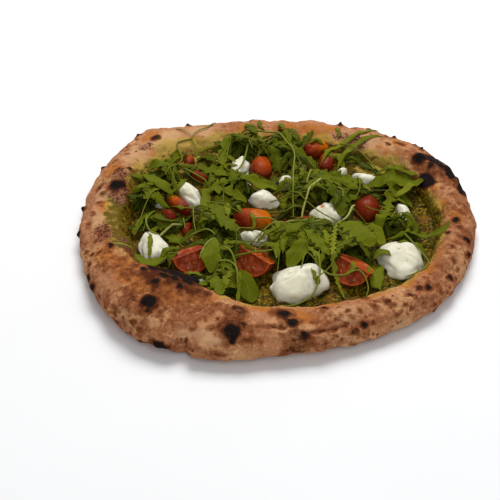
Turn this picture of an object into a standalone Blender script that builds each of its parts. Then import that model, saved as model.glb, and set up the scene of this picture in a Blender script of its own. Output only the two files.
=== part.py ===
"""Pesto pizza with cherry tomatoes, soft cheese and rocket.

A hand-stretched round of dough with a puffed, uneven rim carries a thin lumpy layer of pesto.
Cut cherry tomatoes and dollops of soft cheese sit on the pesto, and a heap of rocket leaves
lies between and over them.  Plan positions are written in whole millimetres, seen from above,
with the origin under the middle of the pizza, +X to the right and +Y away from the eater.
"""
import math
import random

import bmesh
import bpy
import numpy as np
from mathutils import Matrix, Vector, noise
from mathutils.bvhtree import BVHTree

MM = 0.001
GAP = 0.3 * MM                 # air between two pieces that touch
WELD = 0.01 * MM               # points closer than this are one

# dough: one value every 15 degrees, counter-clockwise from +X, in millimetres
SECTOR = 15
RIM_RADIUS = (165, 167, 168, 163, 159, 156, 153, 156, 163, 176, 172, 168,
              165, 165, 167, 173, 167, 158, 149, 147, 148, 153, 157, 160)
RIM_WIDTH = (34, 36, 38, 37, 36, 35, 34, 35, 40, 48, 46, 44,
             42, 43, 50, 72, 67, 56, 50, 46, 42, 38, 33, 32)
RIM_HEIGHT = (22, 22, 25, 23, 20, 19, 18, 19, 21, 24, 25, 25,
              24, 24, 26, 29, 26, 25, 24, 23, 22, 21, 21, 21)
BASE_THICKNESS = 4 * MM        # dough under the pesto
CREST = 0.5                    # where the rim is highest, as a share of its width
BELLY = 0.42                   # height of the rim's widest line, as a share of its height
FOOT = 0.82                    # where the rim leaves the table, as a share of its width
DOUGH_STEPS = 84
RIM_LUMP = 0.8 * MM
RIM_LUMPS = 9                  # how close together the small lumps of the rim are
FREE_ABOVE = 6 * MM            # lumps fade out below this height, where the rim rests
# blisters and dents in the rim: angle, place across it, height, length along, width across
BULGES = ((162, 0.42, 4.5, 14, 11), (24, 0.75, 3.5, 9, 9), (32, 0.45, 3.0, 9, 8),
          (14, 0.70, 2.5, 8, 8), (133, 0.75, 3.0, 14, 12), (252, 0.70, 2.5, 14, 13),
          (228, 0.60, 2.5, 22, 16), (200, 0.35, 2.0, 9, 8), (295, 0.55, 1.5, 14, 12),
          (243, 1.00, -8.0, 6, 13), (264, 0.95, -2.5, 7, 12), (173, 1.00, -2.0, 8, 12),
          (40, 0.30, 2.0, 8, 7), (335, 0.60, 1.5, 12, 10), (88, 0.50, 1.5, 10, 9))

# pesto
PESTO_TOP = 6.0 * MM
PESTO_LUMP = 0.8 * MM
PESTO_LUMP_SPAN = 13 * MM
PESTO_MARGIN = 1.5 * MM        # between its edge and the foot of the rim
PESTO_EDGE = 1.6 * MM          # how much thinner it is at its edge
SEAT_MARGIN = 7                # millimetres round a topping where the pesto isn't raised
PESTO_STEPS = 32
SEAT = 7.0 * MM                # the level that the toppings sit on

# halved tomatoes, skin up: x, y, length, width, depth from skin to cut, heading of the long
# side, roll, in mm and degrees; a wedge's depth is its radius, from its ridge to its skin
TOMATOES = (
    (-22, 9, 33, 21, 11, -8, 0),
    (-21, -54, 36, 26, 18, -43, 12),
    (-70, -51, 33, 25, 17, 31, 12),
    (56, -65, 36, 26, 18, -44, 12),
    (76, 22, 28, 22, 13, 78, 0),
    (-13, 80, 28, 19, 10, 86, 10),
    (37, 106, 24, 18, 10, 30, 20),
    (45, 90, 22, 14, 9, 80, 0),
    (21, 4, 18, 13, 8, 15, 0),
    (3, -5, 17, 11, 8, 60, 12),
    (-85, 27, 27, 11, 8, -48, 15),
    (-93, 11, 14, 10, 7, -60, 30),
    (-76, -4, 17, 8, 6, 86, 0),
    (-78, 90, 16, 9, 7, 80, 10),
    (-69, 67, 19, 9, 7, -35, 20),
)

WEDGES = (2, 3, 4)             # the tomatoes cut into wedges, which lie on their skin, ridge up
WEDGE_HALF = 50                # degrees from the middle of a wedge to each of its cut faces
WEDGE_ROWS = 7                 # facets along a wedge
WEDGE_STEPS = 4                # facets round its skin

TOMATO_SIDES = 9
TOMATO_ROWS = 7
CUT_BELOW = 0.12               # how far past the middle a tomato is cut, as a share of its radius

# soft cheese: x, y, length, width, height, heading, in mm and degrees
CHEESES = (
    (-102, -31, 36, 25, 12, -62),
    (-75, 40, 34, 16, 11, -58),
    (-33, 81, 33, 17, 10, 76),
    (-27, 57, 9, 6, 5, 0),
    (-12, 34, 25, 20, 12, 8),
    (21, 82, 11, 8, 7, 10),
    (8, 64, 15, 8, 6, 20),
    (57, 72, 16, 9, 8, 60),
    (78, 64, 24, 11, 9, -12),
    (67, 53, 9, 8, 5, 40),
    (42, 14, 27, 24, 12, 60),
    (107, 17, 25, 12, 8, -80),
    (73, -14, 17, 9, 6, -20),
    (98, -44, 40, 38, 13, -10),
    (14, -75, 48, 34, 16, 6),
    (-20, -17, 24, 15, 10, -12),
    (-62, -70, 15, 8, 5, -55),
    (-46, -71, 12, 4, 4, -50),
    (-101, 29, 8, 7, 5, 60),
)

LARGE_CHEESE = 200             # square millimetres, from which a piece has more facets
CHEESE_FLAT = 0.35             # where its underside is flat, as a share of its half height
CHEESE_WAVES = ((2, 0.10), (3, 0.08), (5, 0.05))   # lobes round it, and how deep each is
CHEESE_LUMP = 0.10
CHEESE_LUMPS = 1.6             # how close together the lumps of a piece are
CHEESE_SHIFT = 3.1             # between the lumps of one piece and of the next

# rocket: the heap's core, one radius every 15 degrees, in millimetres
CORE_RADIUS = (108, 112, 112, 114, 114, 116, 116, 116, 118, 122, 120, 118,
               116, 108, 98, 94, 96, 92, 52, 46, 58, 84, 92, 104)
CORE_THICKNESS = 2.8 * MM
CORE_LUMP = 1.0 * MM
CORE_LUMP_SPAN = 11 * MM
CORE_EDGE = 0.8 * MM           # how much thinner the core is at its edge
CORE_STEPS = 36
LEAF_THICKNESS = 0.9 * MM
LEAF_CLEAR = 1.0 * MM          # over what isn't rocket
LEAF_BITE = 0.7 * MM           # into the rocket below, so that the heap is one solid
LEAF_PITCH = 11.5 * MM          # length of one facet
LEAF_SAG = 0.8 * MM            # how far a leaf bends down within one facet
LEAF_DROOP = 1.6               # steepest fall of a leaf's end
LAY_ROUNDS = 60                # passes that settle a leaf on what lies below it
LEAF_TIP = 0.2                 # width of a leaf's ends, as a share of its widest
LEAF_FULL = 0.6                # how quickly a leaf reaches its full width; less is quicker
LEAF_FORWARD = 0.9             # below 1, a leaf is widest a little nearer its stalk
LEAF_CURL = 0.4                # how far every other row of a leaf is cupped against its neighbours
LEAF_NEAR = (0, 0.25, 0.5)      # where a leaf keeps clear on the way to its next row, in rows
CURVE_STEPS = 20               # of a smooth path between two given points
STALK_PITCH = 1.4              # a stalk's facets against a leaf's
STALK_TAPER = 0.35             # how much thinner a stalk's far end is
CELL = 2 * MM                  # of the height maps that the leaves are laid on
MAP_HALF = 0.19
SEAT_SIDES = 7
CUTTER_TOP = 10 * MM           # how far a seat's cutter reaches above and below the core

BLADE_SIDES = ((1, 0.22), (0, 0), (-1, 0.22))
STALK_SIDES = ((1, 0), (-1, 0))

# leaves, lowest first: width, then the midrib's points from the stalk to the tip
BLADES = (
    (11, (-128, 51), (-112, 50), (-99, 44)),
    (15, (-93, 54), (-103, 61), (-113, 66)),
    (13, (-84, 61), (-95, 71), (-104, 77)),
    (13, (-92, 66), (-90, 84), (-88, 98)),
    (14, (-54, 80), (-60, 91), (-70, 99)),
    (6, (-72, 104), (-60, 107), (-49, 104)),
    (12, (-38, 49), (-52, 66), (-70, 77)),
    (12, (-87, 30), (-102, 40), (-116, 52)),
    (11, (-91, 19), (-102, 22), (-113, 18)),
    (12, (-84, 0), (-94, -4), (-104, 4)),
    (13, (-80, -24), (-86, -18), (-94, -14)),
    (12, (-16, 108), (-22, 117), (-31, 124)),
    (12, (4, 103), (-5, 111), (-15, 117)),
    (13, (4, 73), (0, 84), (-6, 95)),
    (10, (38, 78), (27, 90), (10, 95)),
    (9, (20, 103), (15, 112), (10, 119)),
    (15, (35, 71), (50, 66), (66, 63)),
    (28, (34, 50), (51, 44), (72, 36)),
    (11, (47, 12), (50, 21), (51, 32)),
    (20, (74, 54), (98, 50), (127, 50)),
    (13, (97, 56), (95, 22), (79, -20)),
    (10, (104, -19), (108, -11), (102, 2)),
    (7, (70, -28), (106, -22), (132, -18)),
    (27, (52, -8), (64, -26), (77, -44)),
    (15, (76, -86), (82, -66), (70, -34)),
    (14, (18, -10), (14, -25), (6, -42)),
    (13, (18, -32), (28, -41), (39, -58)),
    (15, (24, -45), (15, -54), (6, -66)),
    (6, (42, -20), (25, -22), (6, -20)),
    (16, (-33, 45), (-19, 51), (-1, 55)),
    (13, (-40, 36), (-37, 56), (-42, 74)),
    (11, (-43, 62), (-48, 86), (-44, 110)),
    (12, (-70, 37), (-50, 31), (-26, 25)),
    (9, (-64, -9), (-61, 14), (-62, 38)),
    (15, (-57, 11), (-50, -3), (-45, -16)),
    (6, (-41, -13), (-42, 2), (-42, 17)),
    (15, (-52, -11), (-42, -19), (-33, -27)),
    (8, (-95, 24), (-77, 15), (-59, 0)),
    (9, (-86, -20), (-72, -25), (-56, -22)),
    (11, (-49, -34), (-52, -52), (-55, -66)),
    (16, (-55, -68), (-47, -79), (-33, -74)),
    (15, (-26, -71), (-25, -82), (-27, -95)),
    (10, (-118, -43), (-104, -58), (-84, -45)),
    (9, (-80, -27), (-86, -37), (-93, -52)),
    (7, (-10, -42), (-29, -42), (-53, -47)),
)
STALKS = (
    (2.4, (-57, 47), (-70, 62), (-82, 73)),
    (2.2, (-62, 84), (-71, 99), (-77, 113), (-62, 131), (-56, 144)),
    (2.2, (-96, 54), (-85, 74), (-89, 101), (-77, 111)),
    (2.6, (-36, 54), (-31, 72), (-25, 101)),
    (2.4, (11, 4), (13, 48), (16, 84), (3, 110), (-28, 127)),
    (3.4, (18, 92), (47, 108), (80, 124)),
    (2.4, (47, 68), (62, 97), (82, 114)),
    (3.4, (20, 3), (26, 30), (28, 66)),
    (3.2, (38, -11), (56, 1), (66, 24)),
    (2.4, (2, -9), (12, -3), (28, -8), (45, -19)),
    (3.4, (49, -12), (43, -40), (43, -64), (50, -87)),
    (2.2, (18, -42), (29, -61), (26, -90), (4, -102)),
    (2.4, (31, -46), (42, -74), (57, -79), (66, -88)),
    (2.4, (105, -6), (117, -46), (114, -63), (99, -67)),
    (2.4, (16, -48), (-18, -54), (-56, -50)),
    (2.4, (10, -17), (-10, -22), (-25, -35)),
    (3.0, (-52, -38), (-59, -46), (-63, -61)),
    (3.2, (-72, -19), (-58, -21), (-51, -34)),
    (2.8, (-98, -18), (-108, -8), (-104, 13)),
    (3.0, (-106, -56), (-118, -43), (-133, -43)),
    (2.4, (-68, -17), (-70, -3), (-71, 12)),
    (2.4, (-33, -97), (-36, -82), (-44, -70), (-58, -60)),
)


# ---------------------------------------------------------------- small helpers

def clear_scene():
    for item in list(bpy.data.objects):
        bpy.data.objects.remove(item, do_unlink=True)


def collection(name):
    group = bpy.data.collections.new(name)
    bpy.context.scene.collection.children.link(group)
    return group


def material(name, color, roughness):
    mat = bpy.data.materials.new(name)
    mat.use_nodes = True
    shader = mat.node_tree.nodes["Principled BSDF"]
    shader.inputs["Base Color"].default_value = (*color, 1.0)
    shader.inputs["Roughness"].default_value = roughness
    shader.inputs["Metallic"].default_value = 0.0
    mat.diffuse_color = (*color, 1.0)
    return mat


def add_object(name, mesh, mat, group):
    piece = bpy.data.objects.new(name, mesh)
    mesh.materials.append(mat)
    group.objects.link(piece)
    return piece


def baked(piece):
    """A plain mesh copy of a piece with its modifiers applied."""
    depsgraph = bpy.context.evaluated_depsgraph_get()
    return bpy.data.meshes.new_from_object(piece.evaluated_get(depsgraph))


def turned(name, profile, steps):
    """A closed mesh made by turning a profile in the XZ plane about the Z axis."""
    curve = bpy.data.meshes.new(name + "_profile")
    links = [(i, i + 1) for i in range(len(profile) - 1)]
    curve.from_pydata([(r, 0.0, z) for r, z in profile], links, [])
    holder = bpy.data.objects.new(name + "_profile", curve)
    bpy.context.scene.collection.objects.link(holder)
    screw = holder.modifiers.new("turn", "SCREW")
    screw.angle = 2 * math.pi
    screw.steps = steps
    screw.render_steps = steps
    screw.use_merge_vertices = True
    screw.merge_threshold = 0.0001
    bpy.context.view_layer.update()
    mesh = baked(holder)
    mesh.name = name
    bpy.data.objects.remove(holder, do_unlink=True)
    shape = bmesh.new()
    shape.from_mesh(mesh)
    bmesh.ops.remove_doubles(shape, verts=shape.verts, dist=WELD)
    bmesh.ops.recalc_face_normals(shape, faces=shape.faces)
    shape.to_mesh(mesh)
    shape.free()
    return mesh


def between(a, b, c, d, t):
    """A smooth curve from b to c, for t from 0 to 1, that heads on towards a and d."""
    return b + 0.5 * t * (c - a + t * (2 * a - 5 * b + 4 * c - d + t * (3 * (b - c) + d - a)))


def around(values, angle):
    """Smooth value at an angle (degrees) from one value in every sector."""
    place = (angle % 360) / SECTOR
    k = int(place)
    return between(*(values[(k + j) % len(values)] for j in (-1, 0, 1, 2)), place - k)


def polar(x, y):
    return math.degrees(math.atan2(y, x)) % 360, math.hypot(x, y)


def seat_on(mesh, level):
    """Lift or lower a mesh until its lowest point is at a level."""
    lowest = min(v.co.z for v in mesh.vertices)
    for v in mesh.vertices:
        v.co.z += level - lowest


# ---------------------------------------------------------------- dough

def inner_radius(angle):
    return (around(RIM_RADIUS, angle) - around(RIM_WIDTH, angle)) * MM


def dough_profile():
    """The rim's section across a width of 1 and a height of 1, from the middle out and back."""
    points = [(-1.0, 0.0, "flat"), (-0.5, 0.0, "flat"), (0.0, 0.0, "flat")]
    for turn in (12, 28, 46, 66, 90):
        a = math.radians(turn)
        points.append((CREST - CREST * math.cos(a), math.sin(a), "inner"))
    for turn in (66, 44, 22, 0, -30, -58):
        a = math.radians(turn)
        points.append((CREST + (1 - CREST) * math.cos(a), math.sin(a), "outer"))
    points.append((FOOT, -1.0, "outer"))
    points.append((-0.3, -1.0, "under"))
    points.append((-1.0, -1.0, "under"))
    return points


def bulge_height(angle, share, radius):
    """How far the blisters and dents push the rim's skin out at one place."""
    total = 0.0
    for at, place, height, along, across in BULGES:
        turn = (angle - at + 180) % 360 - 180
        run = math.radians(turn) * radius / MM
        side = (share - place) * around(RIM_WIDTH, at)
        total += height * MM * math.exp(-(run / along) ** 2 - (side / across) ** 2)
    return total


def make_crust(group):
    sections = dough_profile()
    ladder = [(1.0 + share, len(sections) - row) for row, (share, _, _) in enumerate(sections)]
    mesh = turned("crust", ladder, DOUGH_STEPS)
    for v in mesh.vertices:
        share, rise, zone = sections[len(sections) - round(v.co.z)]
        angle, _ = polar(v.co.x, v.co.y)
        outer = around(RIM_RADIUS, angle) * MM
        width = around(RIM_WIDTH, angle) * MM
        height = around(RIM_HEIGHT, angle) * MM
        inner = outer - width
        radius = inner * (1 + share) if share < 0 else inner + width * share
        if zone == "flat":
            level = BASE_THICKNESS
        elif zone == "inner":
            level = BASE_THICKNESS + (height - BASE_THICKNESS) * rise
        elif zone == "under":
            level = 0.0
        elif rise >= 0:
            level = height * (BELLY + (1 - BELLY) * rise)
        else:
            level = height * BELLY * (1 + rise)
        if share > 0 and zone != "under":
            ahead = Vector((v.co.x, v.co.y, 0)).normalized()
            push = bulge_height(angle, share, outer)
            push += RIM_LUMP * noise.noise(ahead * RIM_LUMPS + Vector((0, 0, share * 3)))
            lean = (share - CREST) / (1 - CREST)
            free = min(1.0, max(0.0, level / FREE_ABOVE))
            radius += push * lean * abs(lean) * free
            level += push * max(0.0, 1 - lean * lean) * free
        a = math.radians(angle)
        v.co = Vector((radius * math.cos(a), radius * math.sin(a), level))
    add_object("crust", mesh, material("crust", (0.72, 0.50, 0.32), 0.8), group)
    return mesh


# ---------------------------------------------------------------- pesto

def make_pesto(group):
    rings = (0.0, 0.3, 0.55, 0.78, 0.94, 1.0)
    profile = [(share, 2.0) for share in rings] + [(1.0, 1.0), (0.0, 1.0)]
    mesh = turned("pesto", profile, PESTO_STEPS)
    footprints = [(x, y, max(length, width) / 2 + SEAT_MARGIN)
                  for x, y, length, width, *_ in TOMATOES + CHEESES]
    for v in mesh.vertices:
        angle, share = polar(v.co.x, v.co.y)
        reach = (inner_radius(angle) - PESTO_MARGIN) * share
        a = math.radians(angle)
        x, y = reach * math.cos(a), reach * math.sin(a)
        level = BASE_THICKNESS + GAP
        if v.co.z > 1.5:
            lump = PESTO_LUMP * noise.noise(Vector((x, y, 0)) / PESTO_LUMP_SPAN)
            for cx, cy, near in footprints:
                if math.hypot(x / MM - cx, y / MM - cy) < near:
                    lump = min(lump, 0.0)
            level = PESTO_TOP + lump - (PESTO_EDGE if share > 0.99 else 0.0)
        v.co = Vector((x, y, level))
    add_object("pesto", mesh, material("pesto", (0.20, 0.18, 0.03), 0.45), group)
    return mesh


# ---------------------------------------------------------------- toppings

def wedge_shape():
    """A wedge of a ball, with its ridge along X and its skin below, closed by two cut faces."""
    shape = bmesh.new()
    loops = []
    for row in range(1, WEDGE_ROWS):
        along = math.pi * row / WEDGE_ROWS
        loop = [shape.verts.new((-math.cos(along), 0, 0))]
        for step in range(WEDGE_STEPS + 1):
            turn = math.radians(WEDGE_HALF * (2 * step / WEDGE_STEPS - 1))
            reach = math.sin(along)
            loop.append(shape.verts.new((-math.cos(along), reach * math.sin(turn), -reach * math.cos(turn))))
        loops.append(loop)
    tips = shape.verts.new((-1, 0, 0)), shape.verts.new((1, 0, 0))
    count = WEDGE_STEPS + 2
    for k in range(count):
        after = (k + 1) % count
        for a, b in zip(loops, loops[1:]):
            shape.faces.new((a[k], a[after], b[after], b[k]))
        shape.faces.new((tips[0], loops[0][after], loops[0][k]))
        shape.faces.new((tips[1], loops[-1][k], loops[-1][after]))
    bmesh.ops.recalc_face_normals(shape, faces=shape.faces)
    return shape


def half_shape():
    """A little more than half of a ball, skin up, closed by its flat cut face."""
    shape = bmesh.new()
    bmesh.ops.create_uvsphere(shape, u_segments=TOMATO_SIDES, v_segments=TOMATO_ROWS, radius=1.0)
    cut = bmesh.ops.bisect_plane(shape, geom=shape.verts[:] + shape.edges[:] + shape.faces[:],
                                 plane_co=(0, 0, -CUT_BELOW), plane_no=(0, 0, -1), clear_outer=True)
    rim = [e for e in cut["geom_cut"] if isinstance(e, bmesh.types.BMEdge)]
    bmesh.ops.holes_fill(shape, edges=rim, sides=0)
    bmesh.ops.recalc_face_normals(shape, faces=shape.faces)
    bmesh.ops.triangulate(shape, faces=[f for f in shape.faces if len(f.verts) > 4])
    return shape


def make_tomato(index, group, mat):
    x, y, length, width, depth, heading, roll = TOMATOES[index]
    turn = Matrix.Rotation(math.radians(heading), 4, "Z") @ Matrix.Rotation(math.radians(roll), 4, "X")
    if index + 1 in WEDGES:
        shape = wedge_shape()
        size = Matrix.Diagonal((length / 2 * MM, depth * MM, depth * MM, 1))
        bmesh.ops.transform(shape, matrix=turn @ size, verts=shape.verts)
        middle = Vector()
    else:
        shape = half_shape()
        size = Matrix.Diagonal((length / 2 * MM, width / 2 * MM, depth / (1 + CUT_BELOW) * MM, 1))
        bmesh.ops.transform(shape, matrix=turn @ size, verts=shape.verts)
        middle = sum((v.co for v in shape.verts), Vector()) / len(shape.verts)
    bmesh.ops.translate(shape, vec=(x * MM - middle.x, y * MM - middle.y, 0), verts=shape.verts)
    mesh = bpy.data.meshes.new("tomato_%d" % (index + 1))
    shape.to_mesh(mesh)
    shape.free()
    seat_on(mesh, SEAT)
    mesh.shade_smooth()
    mesh.set_sharp_from_angle(angle=math.radians(50))
    add_object(mesh.name, mesh, mat, group)
    return mesh


def make_cheese(index, group, mat):
    x, y, length, width, height, heading = CHEESES[index]
    draw = random.Random(40 + index)
    phases = [draw.uniform(0, 2 * math.pi) for _ in CHEESE_WAVES]
    sides, rows = (10, 7) if length * width > LARGE_CHEESE else (8, 5)
    shape = bmesh.new()
    bmesh.ops.create_uvsphere(shape, u_segments=sides, v_segments=rows, radius=1.0)
    turn = Matrix.Rotation(math.radians(heading), 4, "Z")
    for v in shape.verts:
        angle = math.atan2(v.co.y, v.co.x)
        wobble = sum(deep * math.sin(lobes * angle + phase)
                     for (lobes, deep), phase in zip(CHEESE_WAVES, phases))
        lump = CHEESE_LUMP * noise.noise(v.co * CHEESE_LUMPS + Vector((index * CHEESE_SHIFT, 0, 0)))
        rise = (max(v.co.z, -CHEESE_FLAT) + CHEESE_FLAT) / (1 + CHEESE_FLAT)
        side = Vector((v.co.x * length / 2, v.co.y * width / 2, 0)) * (1 + wobble + lump)
        v.co = (turn @ side + Vector((x, y, rise * height * (1 + lump)))) * MM
    mesh = bpy.data.meshes.new("cheese_%d" % (index + 1))
    shape.to_mesh(mesh)
    shape.free()
    seat_on(mesh, SEAT)
    mesh.shade_smooth()
    add_object(mesh.name, mesh, mat, group)
    return mesh


# ---------------------------------------------------------------- rocket

class HeightMap:
    """The highest point over each cell of the plan."""

    def __init__(self):
        self.count = int(2 * MAP_HALF / CELL) + 1
        self.top = np.zeros((self.count, self.count))

    def cell(self, x, y):
        return int(round((x + MAP_HALF) / CELL)), int(round((y + MAP_HALF) / CELL))

    def raise_to(self, x, y, z):
        i, j = self.cell(x, y)
        self.top[i, j] = max(self.top[i, j], z)

    def cast(self, meshes):
        for mesh in meshes:
            corners = [v.co for v in mesh.vertices]
            tree = BVHTree.FromPolygons(corners, [tuple(p.vertices) for p in mesh.polygons])
            low = np.min(corners, axis=0)
            high = np.max(corners, axis=0)
            (i0, j0), (i1, j1) = self.cell(low[0], low[1]), self.cell(high[0], high[1])
            for i in range(i0, i1 + 1):
                for j in range(j0, j1 + 1):
                    start = Vector((i * CELL - MAP_HALF, j * CELL - MAP_HALF, 0.2))
                    hit = tree.ray_cast(start, Vector((0, 0, -1)))[0]
                    if hit:
                        self.top[i, j] = max(self.top[i, j], hit.z)

    def spread(self, cells):
        """Each cell takes the highest value within some cells of it."""
        wide = self.top.copy()
        for i in range(-cells, cells + 1):
            for j in range(-cells, cells + 1):
                if i * i + j * j <= cells * cells + 1:
                    wide = np.maximum(wide, np.roll(self.top, (i, j), (0, 1)))
        grown = HeightMap()
        grown.top = wide
        return grown

    def at(self, x, y):
        i, j = self.cell(x, y)
        return self.top[i, j]


def smooth_path(points, pitch):
    """Points at an even pitch along a smooth curve through a few given ones."""
    knots = [Vector((x * MM, y * MM)) for x, y in points]
    padded = [2 * knots[0] - knots[1]] + knots + [2 * knots[-1] - knots[-2]]
    fine = []
    for stretch in zip(padded, padded[1:], padded[2:], padded[3:]):
        fine += [between(*stretch, k / CURVE_STEPS) for k in range(CURVE_STEPS)]
    fine.append(knots[-1])
    steps = [0.0]
    for a, b in zip(fine, fine[1:]):
        steps.append(steps[-1] + (b - a).length)
    count = max(3, round(steps[-1] / pitch))
    out = []
    for k in range(count + 1):
        want = steps[-1] * k / count
        j = min(max(np.searchsorted(steps, want), 1), len(fine) - 1)
        t = (want - steps[j - 1]) / (steps[j] - steps[j - 1])
        out.append(fine[j - 1].lerp(fine[j], t))
    return out


def lay(path, halves, solid_map, leaf_map):
    """Heights of a limp ribbon that rests on what lies below it and dips at both ends."""
    need = []
    for k, (spot, half) in enumerate(zip(path, halves)):
        ahead = (path[min(k + 1, len(path) - 1)] - path[max(k - 1, 0)]).normalized()
        across = Vector((-ahead.y, ahead.x)) * half
        level = 0.0
        for share in (-1, 0, 1):
            at = spot + across * share
            level = max(level, leaf_map.at(at.x, at.y) - LEAF_BITE + LEAF_THICKNESS / 2)
            for other in (path[max(k - 1, 0)], path[min(k + 1, len(path) - 1)]):
                for part in LEAF_NEAR:
                    near = at + (other - spot) * part
                    level = max(level, solid_map.at(near.x, near.y) + LEAF_CLEAR + LEAF_THICKNESS / 2)
        need.append(level)
    fall = LEAF_DROOP * (path[1] - path[0]).length
    heights = list(need)
    for _ in range(LAY_ROUNDS):
        for k in range(1, len(path) - 1):
            heights[k] = max(need[k], 0.5 * (heights[k - 1] + heights[k + 1]) - LEAF_SAG)
        heights[0] = max(need[0], heights[1] - fall)
        heights[-1] = max(need[-1], heights[-2] - fall)
    return heights


def blade_shape(share):
    """Half width of a leaf along its length, as a share of the widest half."""
    return max(LEAF_TIP, math.sin(math.pi * share ** LEAF_FORWARD) ** LEAF_FULL)


def stalk_shape(share):
    return 1.0 - STALK_TAPER * share


def leaf_mesh(name, path, halves, heights, sides):
    """An open strip along a midrib: sides are its points across, as (share, lift) pairs."""
    verts = []
    for k, spot in enumerate(path):
        ahead = (path[min(k + 1, len(path) - 1)] - path[max(k - 1, 0)]).normalized()
        across = Vector((-ahead.y, ahead.x)) * halves[k]
        wave = halves[k] * (1 if k % 2 else LEAF_CURL)
        for share, lift in sides:
            verts.append((spot.x + share * across.x, spot.y + share * across.y, heights[k] + lift * wave))
    row = len(sides)
    faces = []
    for k in range(len(path) - 1):
        for a in range(k * row, k * row + row - 1):
            faces.append((a, a + row, a + row + 1, a + 1))
    mesh = bpy.data.meshes.new(name)
    mesh.from_pydata(verts, [], faces)
    return mesh


def thicken(piece):
    split = piece.modifiers.new("split", "TRIANGULATE")
    split.quad_method = "FIXED"
    shell = piece.modifiers.new("thickness", "SOLIDIFY")
    shell.thickness = LEAF_THICKNESS
    shell.offset = 0.0


def make_core(heap, mat, cutters):
    """A thin lumpy mat of leaves, cut free of the toppings that stand in it."""
    rings = (0.0, 0.4, 0.75, 1.0)
    profile = [(share, 2.0) for share in rings] + [(1.0, 1.0), (0.0, 1.0)]
    mesh = turned("rocket_core", profile, CORE_STEPS)
    for v in mesh.vertices:
        angle, share = polar(v.co.x, v.co.y)
        a = math.radians(angle)
        reach = share * around(CORE_RADIUS, angle) * MM
        x, y = reach * math.cos(a), reach * math.sin(a)
        level = SEAT
        if v.co.z > 1.5:
            lump = CORE_LUMP * noise.noise(Vector((x, y, SEAT)) / CORE_LUMP_SPAN)
            level += CORE_THICKNESS + lump - (CORE_EDGE if share > 0.99 else 0.0)
        v.co = Vector((x, y, level))
    core = add_object("rocket_core", mesh, mat, heap)
    for cutter in cutters:
        cut = core.modifiers.new("seat", "BOOLEAN")
        cut.operation = "DIFFERENCE"
        cut.object = cutter
    bpy.context.view_layer.update()
    core.data = baked(core)
    core.modifiers.clear()
    keep_largest(core.data)
    return core


def seat_cutter(mesh, group):
    """A prism a little larger all round than a topping, that cuts its seat in the heap."""
    wide = 2 * math.pi / SEAT_SIDES
    ways = [Vector((math.cos(k * wide), math.sin(k * wide))) for k in range(SEAT_SIDES)]
    reach = [max(v.co.xy.dot(way) for v in mesh.vertices) + 2 * GAP for way in ways]
    shape = bmesh.new()
    bmesh.ops.create_cone(shape, segments=SEAT_SIDES, radius1=1, radius2=1, depth=2, cap_ends=True)
    for v in shape.verts:
        k = round((math.atan2(v.co.y, v.co.x) % (2 * math.pi)) / wide) % SEAT_SIDES
        here, there = ways[k], ways[(k + 1) % SEAT_SIDES]
        a, b = reach[k], reach[(k + 1) % SEAT_SIDES]
        corner = (here * (a - b * math.cos(wide)) + there * (b - a * math.cos(wide))) / math.sin(wide) ** 2
        v.co = Vector((corner.x, corner.y, SEAT + (CUTTER_TOP if v.co.z > 0 else -CUTTER_TOP)))
    block = bpy.data.meshes.new(mesh.name + "_seat")
    shape.to_mesh(block)
    shape.free()
    cutter = bpy.data.objects.new(block.name, block)
    cutter.hide_render = True
    cutter.display_type = "WIRE"
    group.objects.link(cutter)
    return cutter


def keep_largest(mesh):
    """Only the biggest body that shares edges stays, so that there is no loose scrap."""
    shape = bmesh.new()
    shape.from_mesh(mesh)
    bmesh.ops.triangulate(shape, faces=shape.faces)
    left = set(shape.faces)
    islands = []
    while left:
        island = [left.pop()]
        for face in island:
            for edge in face.edges:
                if not edge.is_manifold:
                    continue
                fresh = [other for other in edge.link_faces if other in left]
                left.difference_update(fresh)
                island += fresh
        islands.append(island)
    islands.sort(key=len, reverse=True)
    for island in islands[1:]:
        bmesh.ops.delete(shape, geom=island, context="FACES")
    shape.to_mesh(mesh)
    shape.free()


def raise_along(leaf_map, path, halves, heights):
    """Mark where a laid ribbon is, so that the next ones lie on it."""
    for low in range(len(path) - 1):
        side = (path[low + 1] - path[low]).normalized()
        across = Vector((-side.y, side.x)) * halves[low]
        for quarter in range(5):
            t = quarter / 4
            spot = path[low].lerp(path[low + 1], t)
            level = heights[low] * (1 - t) + heights[low + 1] * t
            for share in (-1, -0.5, 0, 0.5, 1):
                at = spot + across * share
                leaf_map.raise_to(at.x, at.y, level + LEAF_THICKNESS / 2)


def lay_leaf(index, heap, mat, solid_map, leaf_map):
    """One leaf or stalk, laid on the solids and on the leaves below it."""
    width, *points = (BLADES + STALKS)[index]
    blade = index < len(BLADES)
    path = smooth_path(points, LEAF_PITCH if blade else STALK_PITCH * LEAF_PITCH)
    shape = blade_shape if blade else stalk_shape
    halves = [0.5 * width * MM * shape(k / (len(path) - 1)) for k in range(len(path))]
    heights = lay(path, halves, solid_map, leaf_map)
    sides = BLADE_SIDES if blade else STALK_SIDES
    thicken(add_object("leaf", leaf_mesh("leaf", path, halves, heights, sides), mat, heap))
    raise_along(leaf_map, path, halves, heights)


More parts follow.
